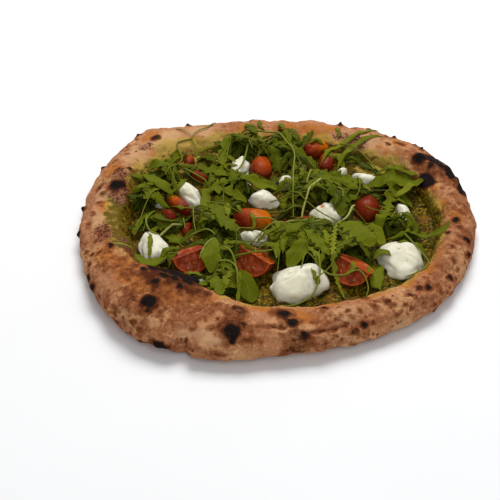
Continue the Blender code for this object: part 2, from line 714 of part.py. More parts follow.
def make_rocket(group, cutter_group, solids, toppings):
    """The heap: every leaf laid on the core in turn, then fused with it into one solid."""
    mat = material("rocket", (0.16, 0.30, 0.03), 0.5)
    heap = collection("rocket_leaves")
    cutters = [seat_cutter(mesh, cutter_group) for mesh in toppings]
    core = make_core(heap, mat, cutters)
    solid_map = HeightMap()
    solid_map.cast(solids)
    solid_map = solid_map.spread(1)
    leaf_map = HeightMap()
    leaf_map.cast([core.data])
    for index in range(len(BLADES + STALKS)):
        lay_leaf(index, heap, mat, solid_map, leaf_map)
    rocket = bpy.data.objects.new("rocket", bpy.data.meshes.new("rocket"))
    group.objects.link(rocket)
    join = rocket.modifiers.new("fuse", "BOOLEAN")
    join.operation = "UNION"
    join.operand_type = "COLLECTION"
    join.collection = heap
    bpy.context.view_layer.update()
    rocket.data = baked(rocket)
    rocket.modifiers.clear()
    keep_largest(rocket.data)
    rocket.data.name = "rocket"
    rocket.data.materials.clear()
    rocket.data.materials.append(mat)
    for leaf in list(heap.objects):
        bpy.data.objects.remove(leaf, do_unlink=True)
    bpy.data.collections.remove(heap)


def main():
    clear_scene()
    pizza = collection("pesto_pizza")
    cutters = collection("cutters")
    crust = make_crust(pizza)
    pesto = make_pesto(pizza)
    skin = material("tomato", (0.62, 0.10, 0.03), 0.35)
    tomatoes = [make_tomato(k, pizza, skin) for k in range(len(TOMATOES))]
    cream = material("cheese", (0.86, 0.84, 0.74), 0.55)
    cheeses = [make_cheese(k, pizza, cream) for k in range(len(CHEESES))]
    toppings = tomatoes + cheeses
    make_rocket(pizza, cutters, [crust, pesto] + toppings, toppings)


main()
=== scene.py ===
"""A pesto pizza with cherry tomatoes, soft cheese and rocket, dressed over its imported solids.

Plan positions are whole millimetres as in the part's source.  Marks and leaves that were read
from the picture are given where their line of sight meets a level 15 mm above the table.
"""
import random
from math import acos, cos, hypot, pi, radians, sin, sqrt

import bmesh
import bpy
import numpy as np
from mathutils import Matrix, Vector, noise
from mathutils.bvhtree import BVHTree


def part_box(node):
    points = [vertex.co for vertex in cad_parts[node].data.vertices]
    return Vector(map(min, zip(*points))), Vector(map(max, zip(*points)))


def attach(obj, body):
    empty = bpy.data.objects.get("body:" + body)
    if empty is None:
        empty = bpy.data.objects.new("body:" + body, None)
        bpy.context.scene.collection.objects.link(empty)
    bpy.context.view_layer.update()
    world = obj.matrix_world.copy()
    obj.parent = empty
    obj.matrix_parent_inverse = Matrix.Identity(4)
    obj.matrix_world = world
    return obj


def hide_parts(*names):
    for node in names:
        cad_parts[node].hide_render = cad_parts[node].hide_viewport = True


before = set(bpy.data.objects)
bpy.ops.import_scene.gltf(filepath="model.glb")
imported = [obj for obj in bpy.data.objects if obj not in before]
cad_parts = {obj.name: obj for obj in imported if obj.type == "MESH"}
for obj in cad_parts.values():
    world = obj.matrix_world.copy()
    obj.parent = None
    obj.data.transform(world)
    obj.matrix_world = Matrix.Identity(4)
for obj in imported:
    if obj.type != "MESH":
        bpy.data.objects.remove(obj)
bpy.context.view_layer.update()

MM = 0.001
# seeds of the random draws
GRAIN_SEED, BLISTER_SEED, BIT_SEED, ROCKET_SEED = 3, 11, 21, 5
CHEESE_SEED, TOMATO_SEED = 40, 60

# camera, in millimetres and degrees
AIM = (-23.4, -20.1, 0.0)
CAMERA_DISTANCE = 900.0
CAMERA_RISE = 40.54
LENS, SENSOR = 78.2, 36
READ_LEVEL = 15.0
# lamps and floor: metres, watts, and the size of a lamp's side
WORLD_LIGHT = 0.36
BACK_SOFTBOX = ("back_softbox", (0.1, 0.9, 1.5), 1.0, 28, (1, 1, 1))
FRONT_FILL = ("front_fill", (0.2, -1.2, 1.2), 1.2, 7.0, (.90, .95, 1.0))
FLOOR_HALF, FLOOR_LEVEL = 4.0, -0.0004

# dough: one value every 15 degrees, counter-clockwise from +X
SECTOR = 15
RIM_RADIUS = (165, 167, 168, 163, 159, 156, 153, 156, 163, 176, 172, 168,
              165, 165, 167, 173, 167, 158, 149, 147, 148, 153, 157, 160)
RIM_WIDTH = (34, 36, 38, 37, 36, 35, 34, 35, 40, 48, 46, 44,
             42, 43, 50, 72, 67, 56, 50, 46, 42, 38, 33, 32)
RIM_HEIGHT = (22, 22, 25, 23, 20, 19, 18, 19, 21, 24, 25, 25,
              24, 24, 26, 29, 26, 25, 24, 23, 22, 21, 21, 21)
# how far up the rim's inner side the oil has stained it, as a share of the rim's width
OIL_REACH = (.28, .26, .22, .18, .20, .24, .26, .30, .36, .42, .46, .60,
             .66, .50, .20, .10, .10, .11, .12, .13, .16, .20, .24, .28)
# and how far up that stain is dark
OIL_DEEP = (.20, .16, .10, .04, .04, .06, .03, .02, .02, .06, .24, .54,
            .62, .46, .12, .05, .05, .05, .05, .06, .08, .12, .16, .20)
# how full the rim's inner side is: below 1 it rises more steeply from the pesto
INNER_FULL = (1, 1, 1, 1, 1, 1, 1, 1, 1, 1, 1, 1,
              1, 1, .72, .42, .48, .80, 1, 1, 1, 1, 1, 1)
# where the pesto is only a thin oily film at its edge: angle, half spread
THIN_FILM = ((128, 30), (48, 16))
BASE = 4.0                     # level of the dough's middle
CREST, FOOT = 0.5, 0.82        # how far out the rim is highest, and where it meets the table
BELLY = 0.42                   # how high the rim is widest
FREE_ABOVE = 6.0               # relief fades out below this level
# swellings of the rim: angle, how far out, height, spread along and across it
BULGES = ((162, 0.42, 4.5, 14, 11), (24, 0.75, 3.5, 9, 9), (32, 0.45, 3.0, 9, 8),
          (14, 0.70, 2.5, 8, 8), (133, 0.75, 3.0, 14, 12), (252, 0.70, 2.5, 14, 13),
          (228, 0.60, 2.5, 22, 16), (200, 0.35, 2.0, 9, 8), (295, 0.55, 1.5, 14, 12),
          (243, 1.00, -8.0, 6, 13), (264, 0.95, -2.5, 7, 12), (173, 1.00, -2.0, 8, 12),
          (40, 0.30, 2.0, 8, 7), (335, 0.60, 1.5, 12, 10), (88, 0.50, 1.5, 10, 9))

# burnt spots on the rim: x, y, size along it, size across it, how dark
CHAR_SPOTS = (
    (-140, 49, 9, 8, 1), (-135, 50, 6, 6, .9), (-154, 44, 10, 5, .7), (-130, 72, 4, 5, .9),
    (-140, 71, 7, 4, .7), (-146, 62, 5, 4, .6), (-133, 65, 4, 4, .7), (-166, 14, 5, 5, .9),
    (-165, -19, 5, 5, .9), (-144, -15, 14, 12, .4), (-136, -32, 10, 5, .95), (-119, -33, 12, 6, .8),
    (-119, -38, 14, 12, .5), (-107, -62, 8, 6, .85), (-100, -61, 14, 8, 1), (-91, -63, 16, 8, 1),
    (-83, -66, 16, 9, 1), (-75, -70, 15, 9, 1), (-67, -74, 14, 8, 1), (-60, -78, 11, 7, .9),
    (-97, -77, 8, 7, 1), (-90, -71, 13, 8, 1), (-78, -82, 8, 8, 1), (-83, -73, 10, 7, .9),
    (-72, -77, 11, 7, .85), (-78, -87, 5, 5, .7), (-120, -83, 6, 5, .5), (-77, -107, 7, 6, .5),
    (-155, -40, 6, 4, .5), (-143, -60, 8, 4, .45), (-101, -98, 12, 12, 1), (-101, -108, 6, 7, .8),
    (-89, -145, 13, 7, 1), (-36, -130, 13, 12, 1), (-36, -139, 5, 6, .9), (-29, -124, 5, 4, .8),
    (-33, -108, 12, 10, .6), (2, -113, 9, 9, 1), (9, -121, 9, 8, 1), (17, -134, 7, 7, .95),
    (12, -142, 16, 20, .5), (32, -105, 6, 5, .9), (54, -131, 8, 7, .65), (63, -124, 7, 6, .9),
    (71, -103, 6, 4, .65), (81, -98, 5, 4, .55), (71, -84, 8, 5, .9), (100, -91, 5, 6, .7),
    (108, -83, 5, 5, .75), (115, -81, 6, 6, .85), (134, -69, 6, 6, .7), (117, -107, 5, 5, .95),
    (148, 1, 7, 6, .9), (149, -10, 6, 5, .6), (154, -26, 5, 7, .8), (150, -45, 5, 6, .7),
    (141, -35, 6, 5, .5), (139, -51, 6, 6, .55), (87, -103, 6, 5, .5), (65, -94, 5, 5, .5),
    (53, -116, 6, 5, .5), (9, -151, 9, 4, .6), (54, -145, 6, 4, .6), (140, -17, 6, 6, .75),
    (130, 90, 11, 15, 1), (141, 86, 18, 12, 1), (151, 67, 20, 11, 1), (159, 42, 18, 10, .95),
    (130, 55, 16, 15, 1), (137, 78, 10, 8, .85), (147, 77, 10, 8, .9), (156, 54, 10, 6, .8),
    (127, 109, 6, 5, .9), (133, 103, 6, 6, .9), (110, 123, 5, 5, .8), (102, 113, 4, 4, .8),
    (113, 111, 8, 5, .6), (63, 149, 6, 5, .95), (-81, 146, 5, 4, .95),
    (-22, 151, 6, 5, .75), (-127, 124, 6, 5, .8), (-110, 121, 9, 6, .75),
    (-157, 76, 5, 5, .9), (-149, -71, 6, 5, .85), (-145, -82, 8, 6, .7), (-104, -145, 7, 4, .7),
    (-47, -154, 14, 4, .5), (73, 138, 5, 4, .7), (88, 138, 6, 4, .8), (129, 109, 6, 6, .9),
    (-63, -90, 9, 7, .55), (-55, -97, 7, 5, .5), (42, -118, 6, 5, .55), (60, -108, 5, 5, .6),
    (88, -112, 6, 5, .5), (97, -100, 5, 4, .5), (104, -93, 5, 5, .5), (124, -88, 5, 5, .5),
    (-60, -118, 5, 4, .5), (-66, -128, 5, 4, .45), (-52, -112, 4, 4, .5), (-118, -74, 6, 5, .4),
    (-134, 96, 5, 4, .5), (-151, 24, 5, 5, .55), (-154, 10, 5, 4, .55),
    (-143, 84, 7, 5, .6), (-150, 36, 6, 5, .6), (-157, -6, 6, 5, .55))
# broad brown scorches: x, y, size, how dark
HALO_SPOTS = ((-101, -99, 32, .62), (-36, -130, 32, .60), (-33, -112, 22, .6), (-121, -42, 26, .6),
              (-100, -68, 34, .88), (-88, -72, 38, .98), (-76, -77, 34, .95), (-64, -82, 28, .62),
              (-86, -90, 34, .50), (-66, -94, 24, .38), (-108, -84, 30, .5), (-116, -104, 22, .4),
              (-88, -112, 26, .4), (-78, -104, 20, .45), (-138, -38, 22, .4), (-112, -56, 20, .6),
              (-54, -102, 20, .45), (12, -140, 30, .55), (4, -116, 24, .6), (40, -122, 26, .30),
              (62, -126, 20, .42), (72, -100, 20, .35), (140, 78, 44, .66), (152, 54, 34, .62),
              (131, 56, 24, .55), (-140, 47, 22, .45), (-140, 67, 24, .30), (138, -30, 30, .34),
              (-130, -54, 32, .56), (-117, -62, 28, .60), (-122, -98, 36, .46), (-104, -128, 30, .26),
              (150, -20, 38, .40), (152, 14, 32, .40), (128, -62, 30, .26), (100, -110, 30, .20),
              (120, -74, 26, .32), (-84, -120, 26, .35), (-66, -116, 22, .3), (146, -4, 22, .4))
# small burnt pimples that stand out of the rim's outline: x, y, size, height
PIMPLES = ((-156, 76, 5, 2.4), (-165, 16, 6, 2.6), (-165, -19, 5, 2.4), (-82, 147, 5, 2.6),
           (-126, 124, 6, 2.0), (63, 150, 6, 3.0), (110, 124, 4, 2.2), (132, 103, 4, 2.4),
           (127, 109, 4, 2.4), (116, -108, 4, 2.0), (154, -26, 5, 2.0), (152, -44, 5, 1.6),
           (-149, -71, 5, 1.6), (-144, -83, 6, 1.4))
# golden toasted patches: x, y, size
GOLD_SPOTS = (
    (-145, 71, 26), (-116, 125, 24), (-140, -44, 30), (-127, -54, 30), (-109, -78, 34),
    (-92, -84, 34), (-84, -92, 26), (-68, -92, 26), (-120, -70, 26), (8, -110, 26), (16, -116, 24),
    (132, 42, 24),
    (138, 21, 22), (32, 134, 26), (9, 137, 26), (51, 137, 22), (149, 8, 22), (126, 32, 20),
    (-146, 20, 20), (-30, 136, 22), (118, -60, 20), (100, -74, 18), (113, 112, 18), (-138, -20, 24))
# places dusted with flour: x, y, size
PALE_SPOTS = ((-127, 94, 34), (-149, 8, 26), (-53, -134, 30), (14, -129, 22), (48, -113, 24),
              (-122, -108, 24), (-150, -2, 22), (90, -125, 24), (-70, 132, 34), (-150, 34, 22),
              (-112, 112, 34), (-96, 124, 26), (84, 116, 26), (100, 100, 24),
              (60, 126, 20), (-72, -134, 16))
# patches of fine dark specks on blistered skin: x, y, size
SPECK_SPOTS = ((-134, 38, 30), (-144, -15, 22), (-124, -32, 20), (74, 113, 20), (-137, 67, 20),
               (-118, 108, 14), (60, 124, 16), (118, 34, 14))
# seams in the dough's skin: how deep, then points along each
SEAMS = ((1, (-19, -127), (-8, -126), (2, -127)),
         (1, (18, -132), (30, -131), (40, -128), (48, -124)),
         (.4, (-112, -128), (-105, -131), (-98, -131)), (.4, (-88, -130), (-78, -129), (-70, -126)))
LIP = (252, 11, 3.2, 5.0)      # turned-out lower edge: angle, half spread, reach, level

# tomatoes: x, y, length, width, depth, heading, roll; then how orange each is
TOMATOES = (
    (-22, 9, 33, 21, 11, -8, 0, .6), (-21, -54, 36, 26, 18, -43, 12, .22),
    (-70, -51, 33, 25, 17, 31, 12, .05), (56, -65, 36, 26, 18, -44, 12, .16),
    (76, 22, 28, 22, 13, 78, 0, .15), (-13, 80, 28, 19, 10, 86, 10, .5),
    (37, 106, 24, 18, 10, 30, 20, .6), (45, 90, 22, 14, 9, 80, 0, .4),
    (21, 4, 18, 13, 8, 15, 0, .45), (3, -5, 17, 11, 8, 60, 12, .2),
    (-85, 27, 27, 11, 8, -48, 15, .5), (-93, 11, 14, 10, 7, -60, 30, .15),
    (-76, -4, 17, 8, 6, 86, 0, .2), (-78, 90, 16, 9, 7, 80, 10, .35),
    (-69, 67, 19, 9, 7, -35, 20, .15))
WEDGES = (1, 2, 3)             # rows of the tomatoes cut into wedges, which lie on their skin
WEDGE_HALF = 50                # degrees from the middle of a wedge to each of its cut faces
ROUND_TOMATO = 4               # row of the one that is whole and round
CUT_BELOW = 0.12               # how far a half's cut face lies below its widest part
SEAT = 7.0                     # level of the pesto that toppings lie on
BED = 0.6                      # how deep a topping is pressed into the pesto

# soft cheese: x, y, length, width, height, heading
CHEESES = (
    (-102, -31, 36, 25, 12, -62), (-75, 40, 34, 16, 11, -58), (-33, 81, 33, 17, 10, 76),
    (-27, 57, 9, 6, 5, 0), (-12, 34, 25, 20, 12, 8), (21, 82, 11, 8, 7, 10),
    (8, 64, 15, 8, 6, 20), (57, 72, 16, 9, 8, 60), (78, 64, 24, 11, 9, -12),
    (67, 53, 9, 8, 5, 40), (42, 14, 27, 24, 12, 60), (107, 17, 25, 12, 8, -80),
    (73, -14, 17, 9, 6, -20), (98, -44, 40, 38, 13, -10), (14, -75, 48, 34, 16, 6),
    (-20, -17, 24, 15, 10, -12), (-62, -70, 15, 8, 5, -55), (-46, -71, 12, 4, 4, -50),
    (-101, 29, 8, 7, 5, 60))
CHEESE_FLAT = 0.35             # where the underside cuts off the ball
CHEESE_WAVES = ((2, 0.10), (3, 0.08), (5, 0.05))
CHEESE_LUMP = 0.10
# humps on a few, by row: x, y, size, height
CHEESE_HUMPS = {0: ((-106, -22, 9, 2.0),), 13: ((106, -36, 14, 2.5),),
                14: ((27, -64, 12, 6.0), (2, -78, 12, 1.5))}
# drops of oil and flecks of pesto on the cheese: x, y, size, and 1 for orange oil
CHEESE_MARKS = ((38, 20, 4, 1), (-8, 44, 3, 1), (54, 77, 3, 1), (102, -50, 2, 0), (-88, -32, 3, 0),
                (-86, -26, 2, 0), (-84, -38, 2, 0), (97, -36, 2, 0), (8, -66, 2, 0), (20, -84, 1, 0))

# rocket: the heap's outline, one radius a sector
CORE_RADIUS = (108, 112, 112, 114, 114, 116, 116, 116, 118, 122, 120, 118,
               116, 108, 98, 94, 96, 92, 52, 46, 58, 84, 92, 104)
LEAF_THICKNESS = 0.35
LEAF_CLEAR = 0.22              # room below a leaf
HEAP_TOP = 29.0                # no leaf's middle lies above this level
STALK_EDGE = 118               # stalks that aren't read from the picture start within this radius
# the body's leaves keep off toppings larger than this area: off a circle of a share of the
# topping's size and some room, and off the same circle moved towards the camera
LARGE_TOPPING = 90
CLEAR_SHARE, CLEAR_ROOM, CLEAR_FRONT = .44, 2.5, 7
# the heap's body, in two layers: name, how many leaves, how far out, the least and most of their length,
# width and tone, and how loose they lie; the lower layer's near black tones are painted shade in the
# gaps of the heap
FILLERS = (("rocket_under_shade", 210, 1.03, (16, 34), (7, 13), (-.05, .22), .8),
           ("rocket_middle", 270, 1.01, (14, 32), (5, 11), (.0, .62), 1.15))
FILLER_KINDS = ("toothed", "toothed", "lobed", "lobed", "fern")
# leaves, lowest first: kind, width, tone from dark 0 to light 1 (partly the leaf's own green, partly
# painted shade and painted light), then the midrib from stalk to tip
LEAVES = (
    ("toothed", 9, .35, (-128, 51), (-112, 50), (-99, 44)),
    ("lobed", 16, .3, (-90, 54), (-100, 62), (-113, 66)),
    ("toothed", 13, .35, (-84, 61), (-95, 71), (-104, 77)),
    ("lobed", 14, .3, (-92, 66), (-90, 84), (-88, 98)),
    ("toothed", 18, .15, (-54, 80), (-60, 91), (-70, 99)),
    ("toothed", 7, .5, (-72, 104), (-60, 107), (-49, 104)),
    ("toothed", 14, .3, (-38, 49), (-52, 66), (-70, 77)),
    ("oval", 12, .5, (-87, 30), (-102, 40), (-116, 52)),
    ("toothed", 12, .4, (-91, 19), (-102, 22), (-113, 18)),
    ("toothed", 12, .2, (-84, 0), (-94, -4), (-104, 4)),
    ("toothed", 14, .3, (-80, -24), (-86, -18), (-94, -14)),
    ("toothed", 12, .15, (-16, 108), (-22, 117), (-31, 124)),
    ("toothed", 6, .5, (-16, 129), (-22, 132), (-29, 135)),
    ("toothed", 6, .4, (-10, 130), (-14, 136), (-14, 145)),
    ("toothed", 12, .15, (4, 103), (-5, 111), (-15, 117)),
    ("toothed", 8, .4, (14, 98), (8, 118), (3, 128)),
    ("oval", 5, .5, (9, 118), (5, 130), (4, 141)),
    ("toothed", 10, .15, (20, 103), (17, 112), (11, 119)),
    ("toothed", 13, .2, (4, 73), (0, 84), (-6, 95)),
    ("toothed", 11, .3, (38, 78), (27, 90), (2, 97)),
    ("lobed", 9, .5, (50, 88), (48, 95), (42, 101)),
    ("toothed", 7, .5, (44, 104), (37, 108), (30, 106)),
    ("oval", 6, .6, (37, 76), (48, 97), (63, 110), (78, 119), (95, 125)),
    ("oval", 5, .5, (52, 74), (60, 91), (72, 104), (85, 111), (98, 113)),
    ("lobed", 6, .5, (57, 116), (58, 124), (56, 133)),
    ("toothed", 15, .35, (34, 64), (50, 58), (66, 57)),
    ("toothed", 24, .25, (44, 50), (50, 30), (54, 8)),
    ("toothed", 27, .4, (33, 43), (50, 44), (74, 52)),
    ("toothed", 10, .15, (47, 12), (50, 21), (51, 32)),
    ("oval", 20, .35, (74, 56), (98, 50), (127, 50)),
    ("lobed", 9, .5, (84, 60), (104, 61), (123, 58)),
    ("oval", 7, .75, (88, 40), (103, 34), (119, 43)),
    ("lobed", 13, .45, (97, 56), (95, 22), (79, -20)),
    ("toothed", 10, .3, (104, -19), (108, -11), (102, 2)),
    ("lobed", 7, .45, (84, -18), (108, -20), (133, -18), (141, -9)),
    ("toothed", 5, .4, (108, -26), (114, -32), (119, -39)),
    ("oval", 5, .4, (96, -30), (101, -29), (106, -28)),
    ("toothed", 31, .48, (50, -2), (62, -26), (74, -44)),
    ("oval", 14, .6, (70, -18), (79, -22), (87, -27)),
    ("oval", 15, .5, (78, -86), (75, -68), (80, -48)),
    ("oval", 8, .5, (74, -50), (82, -45), (89, -49)),
    ("oval", 14, .35, (18, -10), (14, -25), (6, -42)),
    ("toothed", 14, .45, (18, -32), (28, -41), (39, -58)),
    ("oval", 16, .4, (24, -45), (15, -54), (6, -66)),
    ("toothed", 7, .1, (42, -20), (25, -22), (6, -20)),
    ("toothed", 14, .25, (-40, 36), (-37, 56), (-42, 74)),
    ("lobed", 12, .5, (-43, 62), (-48, 86), (-44, 110)),
    ("toothed", 5, .55, (-45, 90), (-40, 86), (-36, 84)),
    ("toothed", 5, .55, (-44, 80), (-39, 77), (-34, 76)),
    ("lobed", 13, .45, (-70, 37), (-50, 31), (-26, 25)),
    ("oval", 9, .5, (-64, -9), (-61, 14), (-62, 38)),
    ("toothed", 16, .3, (-57, 11), (-50, -3), (-45, -16)),
    ("oval", 6, .6, (-41, -13), (-42, 2), (-42, 17)),
    ("toothed", 16, .28, (-52, -11), (-42, -19), (-33, -27)),
    ("lobed", 8, .4, (-95, 24), (-77, 15), (-59, 0)),
    ("toothed", 10, .15, (-78, -28), (-69, -29), (-59, -30)),
    ("oval", 12, .5, (-51, -34), (-54, -52), (-55, -66)),
    ("oval", 17, .45, (-55, -44), (-54, -58), (-55, -70)),
    ("toothed", 14, .35, (-58, -72), (-49, -86), (-46, -98)),
    ("oval", 18, .25, (-36, -74), (-27, -78), (-22, -92)),
    ("toothed", 5, .6, (-31, -72), (-32, -86), (-33, -97)),
    ("oval", 10, .45, (-118, -43), (-104, -58), (-84, -45)),
    ("toothed", 9, .4, (-80, -27), (-86, -37), (-93, -52)),
    ("toothed", 6, .35, (-17, -47), (-29, -42), (-42, -43)),
    ("toothed", 5, .6, (-24, 8), (-20, 0), (-20, -6)),
    ("toothed", 5, .6, (-34, 17), (-33, 13), (-31, 9)),
    ("toothed", 4, .65, (-74, -73), (-66, -72), (-60, -72)),
    ("fern", 7, .7, (49, -12), (43, -40), (43, -64), (50, -87)),
    ("fern", 8, .65, (36, -26), (38, -36), (38, -48)),
    ("toothed", 5, .6, (-106, -20), (-104, -30), (-104, -48)),
    ("toothed", 6, .5, (20, 68), (22, 60), (20, 50)),
    ("lobed", 7, .6, (20, -50), (28, -56), (30, -66)),
    ("lobed", 6, .6, (24, -72), (27, -77), (30, -83)),
    ("fern", 6, .6, (50, -74), (57, -68), (58, -60)),
    ("oval", 15, .55, (-34, 42), (-16, 46), (2, 53)))
# stalks: width, tone, then the points along each
STALKS = (
    (1.6, .6, (-76, 112), (-88, 105), (-89, 100), (-84, 84), (-86, 72), (-97, 53)),
    (1.6, .6, (-55, 145), (-62, 131), (-76, 113), (-72, 103), (-72, 88), (-78, 80)),
    (1.3, .6, (-92, 124), (-83, 120), (-76, 113)),
    (2.2, .5, (-82, 72), (-68, 60), (-58, 48)),
    (2.4, .5, (-25, 101), (-28, 85), (-32, 68), (-36, 55)),
    (1.6, .5, (-25, 101), (-21, 92)),
    (2.2, .7, (-28, 127), (-18, 126), (-8, 120), (2, 111), (10, 98), (16, 86), (15, 70), (14, 50),
     (13, 25), (13, 6)),
    (2.0, .6, (-5, 122), (2, 126)),
    (1.8, .6, (70, 60), (71, 40), (66, 32)),
    (1.5, .6, (100, 10), (94, -3)),
    (1.8, .6, (102, -21), (108, -30), (114, -42), (118, -54), (116, -62), (108, -67), (99, -67)),
    (3.0, .9, (66, 25), (60, 8), (54, -1), (46, -7), (38, -10)),
    (2.0, .7, (50, 32), (55, 28), (55, 22)),
    (3.0, .9, (38, 42), (33, 36), (28, 30), (25, 22), (21, 10), (20, 3)),
    (3.0, .7, (30, 68), (29, 55), (26, 42), (25, 35)),
    (2.5, .1, (14, 2), (22, 2), (34, 0)),
    (2.2, .9, (2, -9), (10, -3), (16, -5), (28, -8), (38, -13), (45, -19)),
    (2.0, .7, (38, -13), (30, -17), (23, -18)),
    (2.0, .6, (20, -50), (28, -55), (31, -65), (30, -80), (24, -92), (8, -100), (-12, -101)),
    (2.0, .6, (34, -66), (40, -72), (50, -74), (60, -71), (66, -78), (68, -86), (66, -92)),
    (2.0, .6, (-36, -51), (-25, -53), (-12, -54), (0, -50)),
    (2.0, .7, (-20, 0), (-8, 2), (0, -2)),
    (2.0, .7, (-20, -6), (-27, -16), (-34, -28)),
    (2.2, .7, (10, -17), (-2, -18), (-12, -23), (-25, -35)),
    (2.6, .3, (5, -25), (-8, -27)),
    (2.2, .7, (-72, -19), (-58, -21), (-51, -32)),
    (2.6, .7, (-52, -38), (-58, -45), (-63, -60)),
    (2.6, .6, (-48, -64), (-40, -64), (-34, -72), (-33, -84)),
    (2.8, .6, (-45, -48), (-38, -54), (-35, -62), (-34, -72)),
    (2.6, .8, (-132, -43), (-125, -43), (-118, -41)),
    (2.4, .5, (-103, 14), (-108, 4), (-112, -10)),
    (2.6, .6, (-110, 8), (-109, -8), (-104, -18), (-98, -18)),
    (3.2, .9, (-98, -16), (-88, -8), (-80, -3)),
    (1.8, .6, (-71, 12), (-70, -5), (-68, -17)),
    (1.5, .6, (-80, 8), (-77, -8)),
    (1.6, .6, (92, 75), (78, 95), (58, 108)),
    (1.8, .5, (-60, 20), (-45, 8), (-30, 4)),
    (1.6, .5, (10, 30), (30, 12), (52, -2)),
    (1.6, .5, (-10, 20), (5, 12), (22, 14)))


# ---- numbers

class Lattice:
    """Smooth noise from about -1 to 1 over points in millimetres, repeating after 64 cells."""

    CELLS = 64

    def __init__(self, seed):
        self.values = np.random.default_rng(seed).uniform(-1, 1, (self.CELLS,) * 3)

    def __call__(self, points, span):
        place = np.asarray(points, float) / span
        low = np.floor(place).astype(int)
        part = place - low
        part = part * part * (3 - 2 * part)
        total = 0
        for corner in range(8):
            step = np.array([corner >> 2 & 1, corner >> 1 & 1, corner & 1])
            i, j, k = np.moveaxis((low + step) % self.CELLS, -1, 0)
            weight = np.where(step, part, 1 - part).prod(-1)
            total = total + weight * self.values[i, j, k]
        return total * 1.6


GRAIN = Lattice(GRAIN_SEED)


def fractal(points, span, octaves=3):
    """Noise whose largest lumps are about span millimetres apart, each octave half as large."""
    return sum(GRAIN(np.asarray(points) + 17.3 * k, span / 2 ** k) / 2 ** k for k in range(octaves))


def ramp(value, low, high):
    """0 below low and 1 above high, with a smooth rise between (or the other way round)."""
    t = np.clip((value - low) / (high - low), 0, 1)
    return t * t * (3 - 2 * t)


def bell(value, middle=0.0, spread=1.0):
    """1 at the middle, falling away smoothly on both sides."""
    return np.exp(-((value - middle) / spread) ** 2)


def signed_power(value, exponent):
    """A power of a value's size, with the value's sign."""
    return np.sign(value) * np.abs(value) ** exponent


def degrees_from(angle, middle):
    """How many degrees an angle is past another one, from -180 to 180."""
    return (angle - middle + 180) % 360 - 180


def between(a, b, c, d, t):
    """A smooth curve from b to c, for t from 0 to 1, that heads on towards a and d."""
    return b + 0.5 * t * (c - a + t * (2 * a - 5 * b + 4 * c - d + t * (3 * (b - c) + d - a)))


def around(values, angle):
    """Smooth values at angles in degrees from one value in every sector."""
    place = (angle % 360) / SECTOR
    k = np.floor(place).astype(int)
    table = np.array(values, float)
    return between(*(table[(k + j) % len(table)] for j in (-1, 0, 1, 2)), place - k)


def smooth_path(points, pitch):
    """Points at an even pitch along a smooth curve through a few given ones."""
    knots = np.array(points, float)
    padded = np.vstack((2 * knots[0] - knots[1], knots, 2 * knots[-1] - knots[-2]))
    t = np.arange(16)[:, None] / 16
    fine = [between(*padded[k:k + 4], t) for k in range(len(knots) - 1)]
    fine = np.vstack(fine + [knots[-1:]])
    steps = np.concatenate(([0], np.cumsum(np.linalg.norm(np.diff(fine, axis=0), axis=1))))
    count = max(4, round(steps[-1] / pitch))
    want = np.linspace(0, steps[-1], count + 1)
    return np.stack([np.interp(want, steps, fine[:, k]) for k in range(2)], 1)


def xyz(x, y, z):
    """Points from their coordinates, each a number or an array."""
    return np.stack(np.broadcast_arrays(x, y, z), -1)


def sides_of(path):
    """Unit directions along a plan path and to its left."""
    ahead = np.gradient(path, axis=0)
    ahead /= np.linalg.norm(ahead, axis=1)[:, None] + 1e-9
    return ahead, np.stack((-ahead[:, 1], ahead[:, 0]), 1)


# ---- pieces

def grid_faces(rows, columns):
    """Quads of a grid of points whose rows close round, each row joined to the next."""
    i = np.arange(rows - 1)[:, None] * columns
    j = np.arange(columns)[None]
    after = (j + 1) % columns
    quads = np.stack((i + j, i + after, i + columns + after, i + columns + j), -1)
    return quads.reshape(-1, 4)


class Build:
    """Points, faces and per-point values gathered into one mesh."""

    def __init__(self):
        self.points, self.faces, self.slots, self.values, self.count = [], [], [], {}, 0

    def add(self, points, faces, slot=0, **values):
        """Points, faces that count from the first of them, and a value or values a point."""
        points = np.asarray(points, float).reshape(-1, 3)
        self.points.append(points)
        self.faces += (np.asarray(faces) + self.count).tolist()
        self.slots += [slot] * len(faces)
        for key in {**self.values, **values}:
            known = self.values.setdefault(key, np.zeros(self.count))
            fresh = np.broadcast_to(np.asarray(values.get(key, 0.0), float).reshape(-1), len(points))
            self.values[key] = np.concatenate((known, fresh))
        self.count += len(points)

    def cap(self, start, count, centre, slot=0, back=False, **values):
        """Shut a ring of points with triangles to a new point in its middle."""
        self.add([centre], [], **values)
        ring = start + np.arange(count)
        after = np.roll(ring, -1)
        ends = (ring, after) if back else (after, ring)
        self.faces += np.stack((*ends, np.full(count, self.count - 1)), 1).tolist()
        self.slots += [slot] * count

    def close(self, rows, columns, first, last, **values):
        """Shut both ends of the rows of points that were added first."""
        self.cap(0, columns, first, **values)
        self.cap((rows - 1) * columns, columns, last, back=True, **values)

    def piece(self, name, finishes, slot, node):
        """Make the mesh, put it on the root body, and hide the node of the part that it dresses."""
        mesh = bpy.data.meshes.new(name)
        mesh.from_pydata((np.vstack(self.points) * MM).tolist(), [], self.faces)
        for finish in finishes:
            mesh.materials.append(finish)
        mesh.polygons.foreach_set("material_index", self.slots)
        for key, values in self.values.items():
            layer = mesh.attributes.new(key, "FLOAT", "POINT")
            layer.data.foreach_set("value", values.astype(np.float32))
        mesh.shade_smooth()
        mesh.update()
        piece = bpy.data.objects.new(name, mesh)
        bpy.context.scene.collection.objects.link(piece)
        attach(piece, "root")
        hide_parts(node)


def tree_of(points, faces):
    points = np.asarray(points, float).reshape(-1, 3)
    return BVHTree.FromPolygons(points.tolist(), [tuple(face) for face in faces])


def camera_place():
    a = radians(CAMERA_RISE)
    return Vector(AIM) + CAMERA_DISTANCE * Vector((0, -cos(a), sin(a)))


